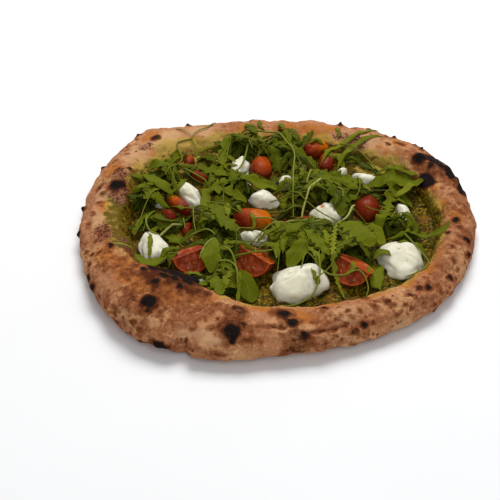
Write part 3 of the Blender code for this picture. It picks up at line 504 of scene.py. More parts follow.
def sight_hit(tree, x, y):
    """Where the line of sight through a plan position at the reading level meets a surface."""
    start = camera_place()
    way = (Vector((x, y, READ_LEVEL)) - start).normalized()
    hit = tree.ray_cast(start, way)[0]
    if hit is not None:
        return np.array(hit)
    reach = (Vector((x, y, READ_LEVEL)) - start).length
    near = [tree.find_nearest(start + way * (reach + step)) for step in range(-40, 41, 4)]
    return np.array(min(near, key=lambda found: found[3])[0])


class Relief:
    """The highest point over each cell of the plan, in millimetres."""

    CELL, HALF, ABOVE = 1.5, 186.0, 200

    def __init__(self):
        self.count = int(2 * self.HALF / self.CELL) + 1
        self.top = np.zeros((self.count, self.count))

    def cells(self, x, y):
        place = (np.stack((x, y)) + self.HALF) / self.CELL
        return np.clip(place, 0, self.count - 1.001)

    def cast(self, points, faces):
        points = np.asarray(points, float).reshape(-1, 3)
        tree = tree_of(points, faces)
        low, high = (self.cells(*corner[:2]).astype(int) for corner in (points.min(0), points.max(0)))
        for i in range(low[0], high[0] + 2):
            for j in range(low[1], high[1] + 2):
                start = Vector((i * self.CELL - self.HALF, j * self.CELL - self.HALF, self.ABOVE))
                hit = tree.ray_cast(start, Vector((0, 0, -1)))[0]
                if hit:
                    self.top[i, j] = max(self.top[i, j], hit.z)

    def at(self, x, y):
        place = self.cells(x, y)
        i, j = place.astype(int)
        u, v = place - (i, j)
        top = self.top
        near = top[i, j] * (1 - v) + top[i, j + 1] * v
        far = top[i + 1, j] * (1 - v) + top[i + 1, j + 1] * v
        return near * (1 - u) + far * u

    def rest(self, points):
        """Mark points that the next leaves lie on."""
        i, j = np.round(self.cells(points[..., 0], points[..., 1])).astype(int)
        np.maximum.at(self.top, (i.ravel(), j.ravel()), points[..., 2].ravel())


# ---- finishes

class Value:
    """A shader socket that arithmetic works on."""

    def __init__(self, finish, socket):
        self.finish, self.socket = finish, socket

    def math(self, operation, *values):
        return self.finish.node("ShaderNodeMath", {"operation": operation}, *values)

    def __add__(self, other):
        return self.math("ADD", self, other)

    def __mul__(self, other):
        return self.math("MULTIPLY", self, other)

    def __sub__(self, other):
        return self.math("SUBTRACT", self, other)

    def __rsub__(self, other):
        return self.math("SUBTRACT", other, self)

    __radd__ = __add__

    def larger(self, other):
        return self.math("MAXIMUM", self, other)

    def wave(self):
        return self.math("SINE", self)

    def size(self):
        return self.math("ABSOLUTE", self)

    def band(self, low, high):
        """0 at low and 1 at high, rising smoothly between."""
        settings = {"interpolation_type": "SMOOTHSTEP", "clamp": True}
        return self.finish.node("ShaderNodeMapRange", settings, self, low, high, 0.0, 1.0)


class Finish:
    """A material of one Principled shader, built from expressions."""

    def __init__(self, name, **fixed):
        self.material = bpy.data.materials.new(name)
        self.material.use_nodes = True
        self.tree = self.material.node_tree
        self.shader = self.tree.nodes["Principled BSDF"]
        for key, value in fixed.items():
            self.shader.inputs[key.replace("_", " ")].default_value = value
        self.place = self.node("ShaderNodeTexCoord", {}, output="Object")
        self.colour = None

    def node(self, kind, settings, *values, output=0, **named):
        """A node with its settings made first, then the values or links of its sockets."""
        node = self.tree.nodes.new(kind)
        for key, value in settings.items():
            setattr(node, key, value)
        for key, value in [*enumerate(values), *named.items()]:
            if isinstance(value, Value):
                self.tree.links.new(value.socket, node.inputs[key])
            elif value is not None:
                node.inputs[key].default_value = value
        return Value(self, node.outputs[output])

    def noise(self, span, detail=2.0, shift=0.0, stretch=None):
        """Noise from 0 to 1 whose lumps are about span millimetres apart."""
        place = self.place
        if shift:
            place = self.node("ShaderNodeVectorMath", {"operation": "ADD"}, place, (shift, shift, shift))
        if stretch:
            place = self.node("ShaderNodeVectorMath", {"operation": "MULTIPLY"}, place, stretch)
        return self.node("ShaderNodeTexNoise", {}, Vector=place, Scale=1 / (span * MM), Detail=detail)

    def ragged(self, swing, *settings):
        """Noise about 0 with a swing, from the settings that noise takes."""
        return (self.noise(*settings) - .5) * swing

    def cells(self, span, feature="F1"):
        """Distance within ragged cells that are about span millimetres apart."""
        drift = self.node("ShaderNodeTexNoise", {}, output="Color", Vector=self.place,
                          Scale=2.2 / (span * MM), Detail=1.0)
        drift = self.node("ShaderNodeVectorMath", {"operation": "SCALE"}, drift, Scale=.45 * span * MM)
        place = self.node("ShaderNodeVectorMath", {"operation": "ADD"}, self.place, drift)
        return self.node("ShaderNodeTexVoronoi", {"feature": feature}, output="Distance",
                         Vector=place, Scale=1 / (span * MM))

    def layer(self, name):
        return self.node("ShaderNodeAttribute", {"attribute_name": name}, output="Fac")

    def mix(self, under, over, factor):
        """A colour over another by a factor."""
        colours = [(*c, 1.0) if isinstance(c, tuple) else c for c in (under, over)]
        return self.node("ShaderNodeMix", {"data_type": "RGBA"},
                         factor, *[None] * 5, *colours, output=2)

    def over(self, colour, factor):
        """Lay a colour over what there is by a factor."""
        self.colour = self.mix(self.colour, colour, factor)

    def done(self, roughness=None, height=None, depth=0.0):
        """Feed the shader: its colour, roughness, and a relief of some millimetres."""
        self.tree.links.new(self.colour.socket, self.shader.inputs["Base Color"])
        if roughness is not None:
            self.tree.links.new(roughness.socket, self.shader.inputs["Roughness"])
        if height is not None:
            bump = self.node("ShaderNodeBump", {}, output="Normal",
                             Strength=1.0, Distance=depth * MM, Height=height)
            self.tree.links.new(bump.socket, self.shader.inputs["Normal"])
        return self.material


DOUGH_TAN, DOUGH_CREAM, DOUGH_ROSE = (.42, .184, .085), (.60, .330, .150), (.23, .076, .034)
DOUGH_GOLD, DOUGH_BROWN, DOUGH_CHAR = (.40, .125, .015), (.062, .014, .004), (.008, .005, .004)
DOUGH_SINGE, DOUGH_FLOUR, DOUGH_PURPLE = (.21, .062, .019), (.60, .365, .19), (.28, .115, .070)
OIL_PALE, OIL_DARK, OIL_DOT = (.42, .29, .048), (.105, .070, .004), (.050, .036, .002)


def dough_finish():
    """Baked dough: tan to cream, toasted gold, freckled, scorched, floured, and stained with oil."""
    f = Finish("baked_dough", Specular_IOR_Level=0.05)
    fine, broad, grain = f.noise(4.5, 3), f.noise(26, 2), f.noise(1.6, 2)
    freckle = f.layer("freckle")
    f.colour = f.mix(DOUGH_TAN, DOUGH_CREAM, f.noise(30, 3, 0.3).band(.44, .70) * .75)
    f.over(DOUGH_ROSE, f.noise(12, 4, 0.7).band(.45, .68) * .70 * freckle)
    f.over(DOUGH_SINGE, f.noise(5, 4, 6.1).band(.50, .68) * .60 * freckle)
    f.over(DOUGH_SINGE, f.noise(17, 4, 6.7).band(.51, .68) * .50 * freckle)
    f.over(DOUGH_CREAM, f.noise(3.0, 4, 7.3).band(.52, .70) * .55)
    f.over(DOUGH_ROSE, grain.band(.46, .72) * .55)
    pale = (f.layer("pale") + (grain - .5) * .6 + (fine - .5) * .4).band(.25, .95)
    f.over(DOUGH_FLOUR, pale * .52)
    gold = (f.layer("gold") + (fine - .5) * .8 + (broad - .5) * .4).band(.20, .95)
    f.over(DOUGH_GOLD, gold * .80)
    leopard = (1 - f.cells(9.5).band(.04, .46)) * f.noise(15, 1, 1.1).band(.44, .56)
    freckles = (1 - f.cells(5.0).band(.05, .42)) * f.noise(11, 1, 1.9).band(.42, .54) * .85
    spots = leopard.larger(freckles) * freckle + (grain - .5) * .3
    f.over(DOUGH_SINGE, spots.band(.10, .50) * .80)
    f.over(DOUGH_BROWN, spots.band(.45, .95) * .85)
    oil = f.layer("oil") + f.ragged(.70, 7, 4, 2.0)
    f.over(OIL_PALE, oil.band(.10, .60) * f.layer("oil").band(0, .12) * .75)
    deep = f.layer("deep") * 1.15 + f.ragged(2.6, 6, 5, 9.2) + (grain - .5) * .8
    f.over(OIL_DARK, deep.band(.05, .80) * f.layer("deep").band(0, .15) * .95)
    dots = (1 - f.cells(3.4).band(.08, .30)) * f.noise(7, 1, 2.6).band(.48, .58)
    f.over(OIL_DOT, dots * f.layer("oil").band(.03, .25) * .8)
    speck = f.layer("speck")
    f.over(DOUGH_PURPLE, (speck + (fine - .5) * .8).band(.30, .70) * .75)
    patchy = f.ragged(1.3, 7, 4, 5.5) + (fine - .5) * .8 + (grain - .5) * .5
    brown = f.layer("brown") + patchy * f.layer("brown").band(0, .3)
    f.over(DOUGH_SINGE, brown.band(.04, .50) * .85)
    f.over(DOUGH_BROWN, brown.band(.38, .95) * .95)
    specks = f.noise(2.0, 1, 3.1).band(.50, .58) * speck.band(.20, .60)
    f.over((.050, .013, .009), specks * .9)
    char = (f.layer("char") + f.ragged(.9, 2.6, 3, 4.0)).band(.30, .90)
    f.over(DOUGH_CHAR, char * .97)
    rough = .78 - f.layer("oil") * .30 - char * .12
    crackle = f.cells(2.2, "DISTANCE_TO_EDGE").band(0.0, .25) * char
    height = grain * .30 + f.noise(.8, 1, 5.0) * .18 + crackle * .5 + f.noise(4, 3, 8.0) * .5
    return f.done(rough, height, .60)


def pesto_finish():
    """Oily chopped herbs: olive with yellow green lumps; the hollows of its relief are painted near
    black as shade.
    """
    f = Finish("pesto", Specular_IOR_Level=0.04)
    lump, fine = f.noise(3.4, 3), f.noise(1.3, 2, 0.9)
    # painted shade: the same lumps as the relief, so its hollows are coloured near black
    f.colour = f.mix((.016, .011, .001), (.125, .086, .003), (lump * .7 + fine * .5).band(.48, .74))
    f.over((.34, .240, .012), f.noise(2.4, 2, 1.7).band(.54, .68) * f.noise(12, 2, 4.1).band(.36, .60))
    f.over((.22, .080, .012), f.noise(7, 2, 2.7).band(.50, .68) * .6)
    thin = (f.layer("thin") + f.ragged(.8, 5, 4, 5.1)).band(.15, .75) * f.layer("thin").band(0, .2)
    f.over(OIL_PALE, thin * .8)
    rough = .55 - f.noise(6, 2, 3.3).band(.4, .7) * .25
    return f.done(rough, lump * .6 + fine * .5, 1.0)


def pesto_bit_finish():
    f = Finish("pesto_bits", Specular_IOR_Level=0.05, Roughness=0.5)
    tone = f.layer("tone")
    f.colour = f.mix((.034, .026, .002), (.150, .112, .007), tone.band(0, .5))
    f.over((.42, .28, .020), tone.band(.5, 1))
    return f.done(None, f.noise(.9, 2), .3)


def tomato_skin_finish():
    """Glossy roasted skin: deep red through orange, streaked."""
    f = Finish("tomato_skin", Specular_IOR_Level=0.06, Coat_Weight=0.06, Coat_Roughness=0.15)
    warm = (f.layer("orange") + f.ragged(.6, 9, 3)).band(.05, 1.0)
    f.colour = f.mix((.150, .013, .002), (.30, .040, .003), warm.band(0, .5))
    f.over((.52, .120, .001), warm.band(.45, 1))
    streak = f.noise(2.2, 2, 1.4).band(.58, .76)
    f.over((.48, .115, .006), streak * .35)
    rough = .36 + f.noise(5, 2, 2.4) * .15
    return f.done(rough, f.noise(3.0, 2, 3.1) * .7 + f.noise(.9, 1, 4.4) * .2, .5)


def tomato_flesh_finish():
    """A cut face: bright wall and ribs, with deep red jelly between them."""
    f = Finish("tomato_flesh", Specular_IOR_Level=0.12, Coat_Weight=0.08, Coat_Roughness=0.2)
    jelly = (f.layer("jelly") + f.ragged(.35, 1.6, 2)).band(.30, .75)
    orange = (f.layer("orange") + f.ragged(.7, 5, 2, 1.0)).band(.1, .9)
    wall = f.mix((.37, .052, .010), (.55, .130, .009), orange)
    f.colour = f.mix(wall, f.mix((.260, .034, .010), (.46, .085, .010), orange), jelly * .85)
    pips = f.noise(1.9, 1, 2.0).band(.60, .70) * f.layer("jelly")
    f.over((.42, .150, .035), pips * .5)
    threads = f.noise(1.2, 2, 3.0, (1, 3, 1)).band(.60, .72)
    f.over((.50, .185, .045), threads * .35)
    return f.done(.42 - jelly * .18, f.noise(1.5, 2, 4.0) * .6, .4)


def seed_finish():
    f = Finish("tomato_seed", Roughness=0.45)
    f.colour = f.mix((.36, .13, .025), (.52, .24, .06), f.noise(2))
    return f.done()


def cheese_finish():
    """Soft fresh cheese: milky white, painted darker and greener towards the bottom as shade, with a wet
    grain.
    """
    f = Finish("soft_cheese", Specular_IOR_Level=0.3, Subsurface_Weight=0.35,
               Subsurface_Scale=0.006, Coat_Weight=0.06, Coat_Roughness=0.35)
    f.shader.inputs["Subsurface Radius"].default_value = (1.0, .9, .7)
    f.colour = f.mix((.68, .645, .48), (.79, .76, .60), f.noise(8, 2).band(.35, .7))
    # painted shade: the lower part of each dollop turns darker and greener
    low = (f.layer("low") + f.ragged(.6, 3.5, 3, 1.0)).band(.45, 1.15)
    f.over((.36, .33, .11), low * .7)
    f.over((.46, .45, .26), f.noise(5, 3, 2.0).band(.56, .80) * .35)
    flecks = f.noise(2.1, 1, 3.0).band(.74, .80) * .5
    f.over((.16, .17, .02), flecks.larger(f.layer("fleck") * f.noise(1.2, 1, 5.0).band(.45, .55)))
    f.over((.55, .15, .02), f.layer("drop").band(.25, .75) * .9)
    rough = .46 + f.noise(4, 2, 4.0) * .2
    return f.done(rough, f.noise(3.2, 3, 6.0) * .5 + f.noise(1.1, 2, 7.0) * .2, .35)


def leaf_finish():
    """Rocket leaf: one tone a leaf, partly its own green and partly painted light and shade, mottled,
    with a thin midrib, faint side veins and soft shine.
    """
    f = Finish("rocket_leaf", Specular_IOR_Level=0.06)
    across, along = f.layer("across").size(), f.layer("along")
    tone = f.layer("tone") + f.ragged(.30, 7, 2)
    # the tone runs from near black, painted shade for leaves in shadow, to yellow green, painted light
    # for lit tops, over each leaf's own green
    f.colour = f.mix((.024, .034, .0008), (.104, .122, .0012), tone.band(-.10, .42))
    f.over((.235, .240, .014), tone.band(.38, 1.0))
    ribs = ((along * 3.2 - across * .55) * pi * 2).wave().band(.92, 1.0)
    ribs = ribs * (1 - across.band(.75, 1.0))
    f.over((.115, .135, .008), ribs * .16)
    midrib = 1 - across.band(.02, .065)
    f.over((.20, .21, .030), midrib * .5)
    f.over((.115, .128, .010), f.layer("under") * .30)
    rough = .56 + f.noise(3, 2, 2.0) * .15
    return f.done(rough, f.noise(2.6, 3, 3.0) * .6 - ribs * .3 - midrib * .4, .5)


def stalk_finish():
    f = Finish("rocket_stalk", Specular_IOR_Level=0.1)
    tone = f.layer("tone") + f.ragged(.3, 9, 2)
    f.colour = f.mix((.050, .064, .002), (.17, .19, .014), tone.band(0, .7))
    f.over((.36, .35, .09), tone.band(.62, 1.0))
    return f.done(.42 + f.noise(2, 1) * .1, f.noise(1.4, 1, 1.0, (1, 1, .2)), .2)


def floor_finish():
    f = Finish("pale_floor", Roughness=0.7)
    f.colour = f.mix((.84, .84, .84), (.88, .88, .88), f.noise(140, 2))
    return f.done()


# ---- dough

AROUND = 900
MIDDLE_ROWS, INNER_ROWS, OUTER_ROWS = 9, 34, 56
OUTER_TURN = radians(-58)
BLISTERS = 260
BLISTER_SIZE, BLISTER_HEIGHT = (1.6, 5.5), (.12, .26)      # the height is a share of the size


def rim_section():
    """The section from the middle out over the rim and back underneath, point by point.

    The share tells how far out a point lies within the rim's width, the rise how high it is, and
    the zone whether it is on the inner side (0), the outer side (1) or the underside (2).
    """
    inner = np.linspace(0, pi / 2, INNER_ROWS)
    outer = np.linspace(pi / 2, OUTER_TURN, OUTER_ROWS)[1:]
    share = np.concatenate((np.linspace(-.97, -.05, MIDDLE_ROWS), CREST - CREST * np.cos(inner),
                            CREST + (1 - CREST) * np.cos(outer), (.80, FOOT, .5, -.1, -.5, -.97)))
    rise = np.concatenate((np.zeros(MIDDLE_ROWS), np.sin(inner), np.sin(outer),
                           (-.97, -1, -1, -1, -1, -1)))
    zone = np.repeat((0, 1, 2), (MIDDLE_ROWS + INNER_ROWS, OUTER_ROWS + 1, 4))
    return share, rise, zone


def rim_surface(angle, share, rise, zone):
    """Points of the dough's skin before its fine relief."""
    outer, width, height = (around(v, angle) for v in (RIM_RADIUS, RIM_WIDTH, RIM_HEIGHT))
    inner = outer - width
    radius = np.where(share < 0, inner * (1 + share), inner + width * share)
    level = np.where(rise >= 0, height * (BELLY + (1 - BELLY) * rise), height * BELLY * (1 + rise))
    steep = np.clip(rise, 0, None) ** around(INNER_FULL, angle)
    level = np.where(zone == 0, BASE + (height - BASE) * steep, level)
    level = np.where(zone == 2, 0.0, level)
    push = 0
    for at, place, high, along, across in BULGES:
        run = np.radians(degrees_from(angle, at)) * outer
        side = (share - place) * around(RIM_WIDTH, np.array(float(at)))
        push = push + high * np.exp(-(run / along) ** 2 - (side / across) ** 2)
    lean = (share - CREST) / (1 - CREST)
    free = np.clip(level / FREE_ABOVE, 0, 1) * (share > 0) * (zone < 2)
    radius = radius + push * lean * np.abs(lean) * free
    level = level + push * np.clip(1 - lean * lean, 0, None) * free
    a = np.radians(angle)
    return xyz(radius * np.cos(a), radius * np.sin(a), level)


def surface_normals(grid):
    """Outward normals of a grid of points whose columns close round."""
    along = np.roll(grid, -1, 1) - np.roll(grid, 1, 1)
    across = np.gradient(grid, axis=0)
    normal = np.cross(along, across)
    return -normal / (np.linalg.norm(normal, axis=-1)[..., None] + 1e-9)


def spot_distance(grid, tree, x, y, along, across):
    """Distance from a spot in its own radii, which are measured along and across the rim."""
    hit = sight_hit(tree, x, y)
    way = np.array((-hit[1], hit[0], 0)) / hypot(hit[0], hit[1])
    offset = grid - hit
    run = offset @ way
    side = np.linalg.norm(offset - run[..., None] * way, axis=-1)
    return np.hypot(run / along, side / across)


def seam_distance(grid, hits):
    """Distance to a line of points on the skin."""
    best = np.full(grid.shape[:-1], 1e9)
    for a, b in zip(hits, hits[1:]):
        t = np.clip(((grid - a) @ (b - a)) / ((b - a) @ (b - a)), 0, 1)
        best = np.minimum(best, np.linalg.norm(grid - a - t[..., None] * (b - a), axis=-1))
    return best


def blister_relief(grid):
    """Small round blisters all over the baked skin, most of them near the crest."""
    draw = random.Random(BLISTER_SEED)
    rows, columns, _ = grid.shape
    relief = np.zeros((rows, columns))
    for _ in range(BLISTERS):
        row = int(draw.triangular(12, rows - 12, 42))
        centre = grid[row, draw.randrange(columns)]
        radius = draw.uniform(*BLISTER_SIZE)
        near = np.linalg.norm(grid - centre, axis=-1) / radius
        relief = np.maximum(relief, draw.uniform(*BLISTER_HEIGHT) * radius * np.exp(-near ** 4))
    return relief


def burns(grid, tree, ragged):
    """How charred and how browned the skin is, and how far burnt crusts stand out of it."""
    char, brown, raised = (np.zeros(grid.shape[:2]) for _ in range(3))
    for x, y, along, across, dark in CHAR_SPOTS:
        size = (along + across) / 4
        away = spot_distance(grid, tree, x, y, along / 2, across / 2)
        away = (away - 1) * size + .9 * ragged
        halo = min(2.2 + .75 * size, 7.5)
        char = np.maximum(char, dark * ramp(away, .9, -1.8))
        brown = np.maximum(brown, dark * (.55 * ramp(away, halo, -1) + .45 * ramp(away, .45 * halo, -1)))
        high = min(.35 + 5 / (along + across), 1.0)
        raised = np.maximum(raised, high * dark * ramp(away, 1.2, -1))
    for x, y, size, high in PIMPLES:
        away = spot_distance(grid, tree, x, y, size / 2, size / 2)
        char = np.maximum(char, ramp(away, 1.25, .6))
        brown = np.maximum(brown, .8 * ramp(away, 2.0, .8))
        raised = np.maximum(raised, high * bell(away))
    uneven = .35 * fractal(grid, 8, 2)
    for x, y, size, dark in HALO_SPOTS:
        away = spot_distance(grid, tree, x, y, size * .55, size * .45) + uneven
        brown = np.maximum(brown, dark * ramp(away, 1.35, .35))
    return char, brown, raised


def patches(grid, tree, spots):
    """Patches that fade out from their middles."""
    layer = np.zeros(grid.shape[:2])
    for x, y, size in spots:
        away = spot_distance(grid, tree, x, y, size * .55, size * .38)
        layer = np.maximum(layer, bell(away))
    return layer


def seam_marks(grid, tree, ragged):
    """The folds along the seams, and how brown they are."""
    folds, brown = 0, 0
    for deep, *seam in SEAMS:
        away = seam_distance(grid, [sight_hit(tree, x, y) for x, y in seam]) + .5 * ragged
        folds = folds + deep * (.5 * bell(away, 3.2, 1.6) - 1.3 * bell(away, spread=1.3))
        brown = np.maximum(brown, .62 * deep * bell(away, spread=2.0))
    return folds, brown


def lip_push(grid, angle, share):
    """How the lower edge moves where the dough has turned out."""
    middle, spread, reach, level = LIP
    turn = degrees_from(angle, middle)
    lip = np.exp(-(turn / spread) ** 4) * bell(grid[..., 2], level, 2.2) * (share > .6)
    a = np.radians(angle)
    return xyz(reach * lip * np.cos(a), reach * lip * np.sin(a), .6 * lip)


def add_relief(grid, angle, share, rise, free, raised):
    """The skin with its lumps, blisters, wrinkles and what is raised on it, and its lip."""
    wrinkles = fractal(xyz(np.radians(angle) * 5.5, share * 11, rise * 4) * 10, 10, 2)
    relief = .85 * fractal(grid, 17, 2) + .38 * fractal(grid, 5, 2) + blister_relief(grid)
    relief = relief + .45 * wrinkles * ramp(share, .55, .85) + raised[0]
    relief = relief + raised[1] * (1 + .4 * fractal(grid, 2.5, 1))
    push = lip_push(grid, angle, share)
    grid = grid + surface_normals(grid) * (relief * free)[..., None] + push
    grid[..., 2] = np.clip(grid[..., 2], 0, None)
    return grid


def oil_stain(grid, angle, share, zone):
    """How oily the inner side is, and how dark that oil."""
    inward = np.clip(share, 0, None)
    reach = around(OIL_REACH, angle) + .10 * fractal(grid, 11, 3)
    oil = np.clip(1.05 - inward / np.clip(reach + .06, .05, None), 0, 1) * (zone == 0)
    deep = np.clip(1.1 - inward / (around(OIL_DEEP, angle) + .05), 0, 1) * (zone == 0)
    return oil, deep


def make_crust(finish):
    """The dough: its skin, then burns, relief, seams, lip and stains laid over it."""
    share, rise, zone = (np.repeat(v[:, None], AROUND, 1) for v in rim_section())
    angle = np.broadcast_to(np.arange(AROUND) * 360 / AROUND, share.shape)
    grid = rim_surface(angle, share, rise, zone)
    faces = grid_faces(*share.shape)
    tree = tree_of(grid, faces)
    free = np.clip(grid[..., 2] / FREE_ABOVE, 0, 1) * (share > 0) * (zone < 2)
    ragged = fractal(grid, 5.0, 2)
    char, brown, raised = burns(grid, tree, ragged)
    gold, pale, speck = (patches(grid, tree, spots) for spots in (GOLD_SPOTS, PALE_SPOTS, SPECK_SPOTS))
    folds, seam_brown = seam_marks(grid, tree, ragged)
    grid = add_relief(grid, angle, share, rise, free, (folds, raised))
    oil, deep = oil_stain(grid, angle, share, zone)
    below = ramp(grid[..., 2], 5.0, 1.0) * (zone > 0)
    brown = np.maximum.reduce((brown, seam_brown, .55 * below * ramp(ragged, -.3, .6)))
    front = ramp(np.sin(np.radians(angle)), .1, -.6)
    front_left = .45 * bell(angle, 226, 26)
    toast = .38 + .30 * front + .50 * fractal(grid, 14, 3)
    gold = np.maximum(gold, toast * bell(share, .24, .17) * (zone == 0))
    freckle = ramp(share, .12, .4) * (ramp(fractal(grid, 40, 2), -.7, .5) + front_left)
    build = Build()
    build.add(grid, faces, gold=gold, pale=pale, speck=speck, freckle=freckle,
              brown=brown, char=char, oil=oil, deep=deep)
    build.close(*share.shape, (0, 0, BASE), (0, 0, 0))
    build.piece("crust_dough", [finish], "crust", "crust")
    return grid, faces


# ---- pesto

PESTO_LEVEL = 6.9
PESTO_UNDER = 4.2
PESTO_AROUND, PESTO_ROWS, CLIMB_ROWS = 480, 76, 24


def make_pesto(finish):
    """The spread: a lumpy layer that thins out as it climbs the rim's inner side."""
    flat = np.linspace(-.985, 0, PESTO_ROWS)
    climb = np.linspace(0, 1, CLIMB_ROWS)[1:]
    angle = np.arange(PESTO_AROUND) * 360.0 / PESTO_AROUND
    a = np.radians(angle)
    reach = .05 + .45 * np.clip(around(OIL_DEEP, angle), 0, 1)
    reach = reach + .035 * fractal(xyz(np.cos(a), np.sin(a), 0) * 130, 9, 2)
    share = np.concatenate((np.repeat(flat[:, None], PESTO_AROUND, 1), climb[:, None] * reach))
    inner = np.arccos(np.clip((CREST - np.clip(share, 0, None)) / CREST, -1, 1))
    skin = rim_surface(np.broadcast_to(angle, share.shape), share, np.sin(inner), np.zeros(share.shape))
    film = .9 * (1 - (np.clip(share, 0, None) / reach)) - .25
    flat_level = PESTO_LEVEL + .35 * fractal(skin * (1, 1, 0), 12, 2)
    level = np.maximum(np.where(share > 0, 0, flat_level), skin[..., 2] + np.where(share > 0, film, 0))
    lumps = .55 * fractal(skin * (1, 1, 0), 3.6, 2) + .25 * fractal(skin * (1, 1, 0) + 9, 1.8, 1)
    level = level + lumps * np.clip(film / .6, .15, 1)
    grid = xyz(skin[..., 0], skin[..., 1], level)
    under = grid[::-25].copy()
    under[..., 2] = np.minimum(under[..., 2] - .5, PESTO_UNDER)
    whole = np.concatenate((grid, under))
    bare = sum(bell(angle, middle, spread) for middle, spread in THIN_FILM)
    thin = bare * ramp(share + .03 * fractal(skin, 8, 2), -.20, -.04)
    build = Build()
    build.add(whole, grid_faces(len(whole), PESTO_AROUND),
              thin=np.concatenate((thin, 0 * under[..., 0])))
    build.cap(0, PESTO_AROUND, (0, 0, PESTO_LEVEL))
    build.piece("pesto_spread", [finish], "pesto", "pesto")
    return grid


BIT_COUNT = 2300


def icosahedron():
    ball = bmesh.new()
    bmesh.ops.create_icosphere(ball, subdivisions=1, radius=1.0)
    points = np.array([v.co for v in ball.verts])
    faces = np.array([[v.index for v in face.verts] for face in ball.faces])
    ball.free()
    return points, faces


def make_pesto_bits(finish, spread):
    """Loose grains of chopped nut, cheese and herb on the spread, and a few up the rim."""
    draw = np.random.default_rng(BIT_SEED)
    points, faces = icosahedron()
    rows = (draw.beta(2.2, 1.0, 3 * BIT_COUNT) * (len(spread) - 14)).astype(int) + 1
    places = spread[rows, draw.integers(0, PESTO_AROUND, 3 * BIT_COUNT)]
    crowd = fractal(places * (1, 1, 0), 15, 2) + draw.uniform(-.4, .4, len(places))
    places = places[np.argsort(-crowd)[:BIT_COUNT]]
    sizes = draw.uniform(.5, 1.0, (BIT_COUNT, 1)) * draw.uniform(.7, 1.35, (BIT_COUNT, 3))
    tones = draw.beta(1.0, 2.1, BIT_COUNT)
    grains = points[None] * sizes[:, None] + places[:, None] + np.array((0, 0, .2))
    index = faces[None] + np.arange(BIT_COUNT)[:, None, None] * len(points)
    build = Build()
    build.add(grains, index.reshape(-1, 3), tone=np.repeat(tones, len(points)))
    build.piece("pesto_bits", [finish], "pesto", "pesto")


# ---- tomatoes

SKIN_ROWS, TOMATO_AROUND, FACE_RINGS = 24, 52, 18
WEDGE_LONG, WEDGE_SKIN, WEDGE_FACE, WEDGE_SEEDS = 44, 18, 16, 9
HALF_SEEDS = (.38, .48, .56, .63, .68)     # how far out the seeds of each chamber lie


def add_seeds(build, draw, places, size, tilt):
    """Flat oval seeds at points of a cut face, each turned by an angle within it."""
    ball, ball_faces = icosahedron()
    for place, angle in places:
        seed = ball * size * draw.uniform(.8, 1.2)
        seed[:, 1] *= 1 - .25 * seed[:, 0]
        c, s = cos(angle), sin(angle)
        seed = seed @ np.array(((c, s, 0), (-s, c, 0), (0, 0, 1)))
        build.add(seed @ tilt + place, ball_faces, 2)


def place_tomato(build, index, finishes, centred):
    """Turn and roll a tomato, seat it in the pesto, and make its piece."""
    x, y, heading, roll = (TOMATOES[index][k] for k in (0, 1, 5, 6))
    node = "tomato_%d" % (index + 1)
    turned = Matrix.Rotation(radians(heading), 3, "Z") @ Matrix.Rotation(radians(roll), 3, "X")
    points = np.vstack(build.points) @ np.array(turned).T
    if centred:
        low, high = (np.array(corner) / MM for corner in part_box(node))
        points[:, :2] += (low + high)[:2] / 2 - (points.min(0) + points.max(0))[:2] / 2
    else:
        points[:, :2] += (x, y)
    points[:, 2] += SEAT - BED - points[:, 2].min()
    build.points = [points]
    build.piece(node + "_piece", finishes, "tomato", node)
    return points, build.faces


def wedge_seeds(build, draw, length, depth, half):
    """Seeds on the wedge's face that turns to the camera."""
    tilt = np.array(((1, 0, 0), (0, sin(half), cos(half)), (0, -cos(half), sin(half))))
    places = []
    for _ in range(WEDGE_SEEDS):
        u, v = draw.uniform(-.62, .62), draw.uniform(.30, .72)
        level = -v * sqrt(1 - u * u) * depth
        place = np.array((u * length / 2, level * sin(half), level * cos(half)))
        places.append((place + tilt[2] * -.7, pi / 2 + draw.uniform(-.5, .5)))
    add_seeds(build, draw, places, np.array((1.0, .6, .4)), tilt)


def half_seeds(build, draw, size, chambers, first):
    """Seeds in the chambers of a half's cut face."""
    places = []
    for k in range(chambers):
        for share in HALF_SEEDS:
            a = first + 2 * pi * k / chambers + draw.uniform(-.55, .55)
            places.append((np.array((share * cos(a), share * sin(a), -CUT_BELOW + .06)) * size, a))
    add_seeds(build, draw, places, np.array((1.25, .75, .45)), np.eye(3))


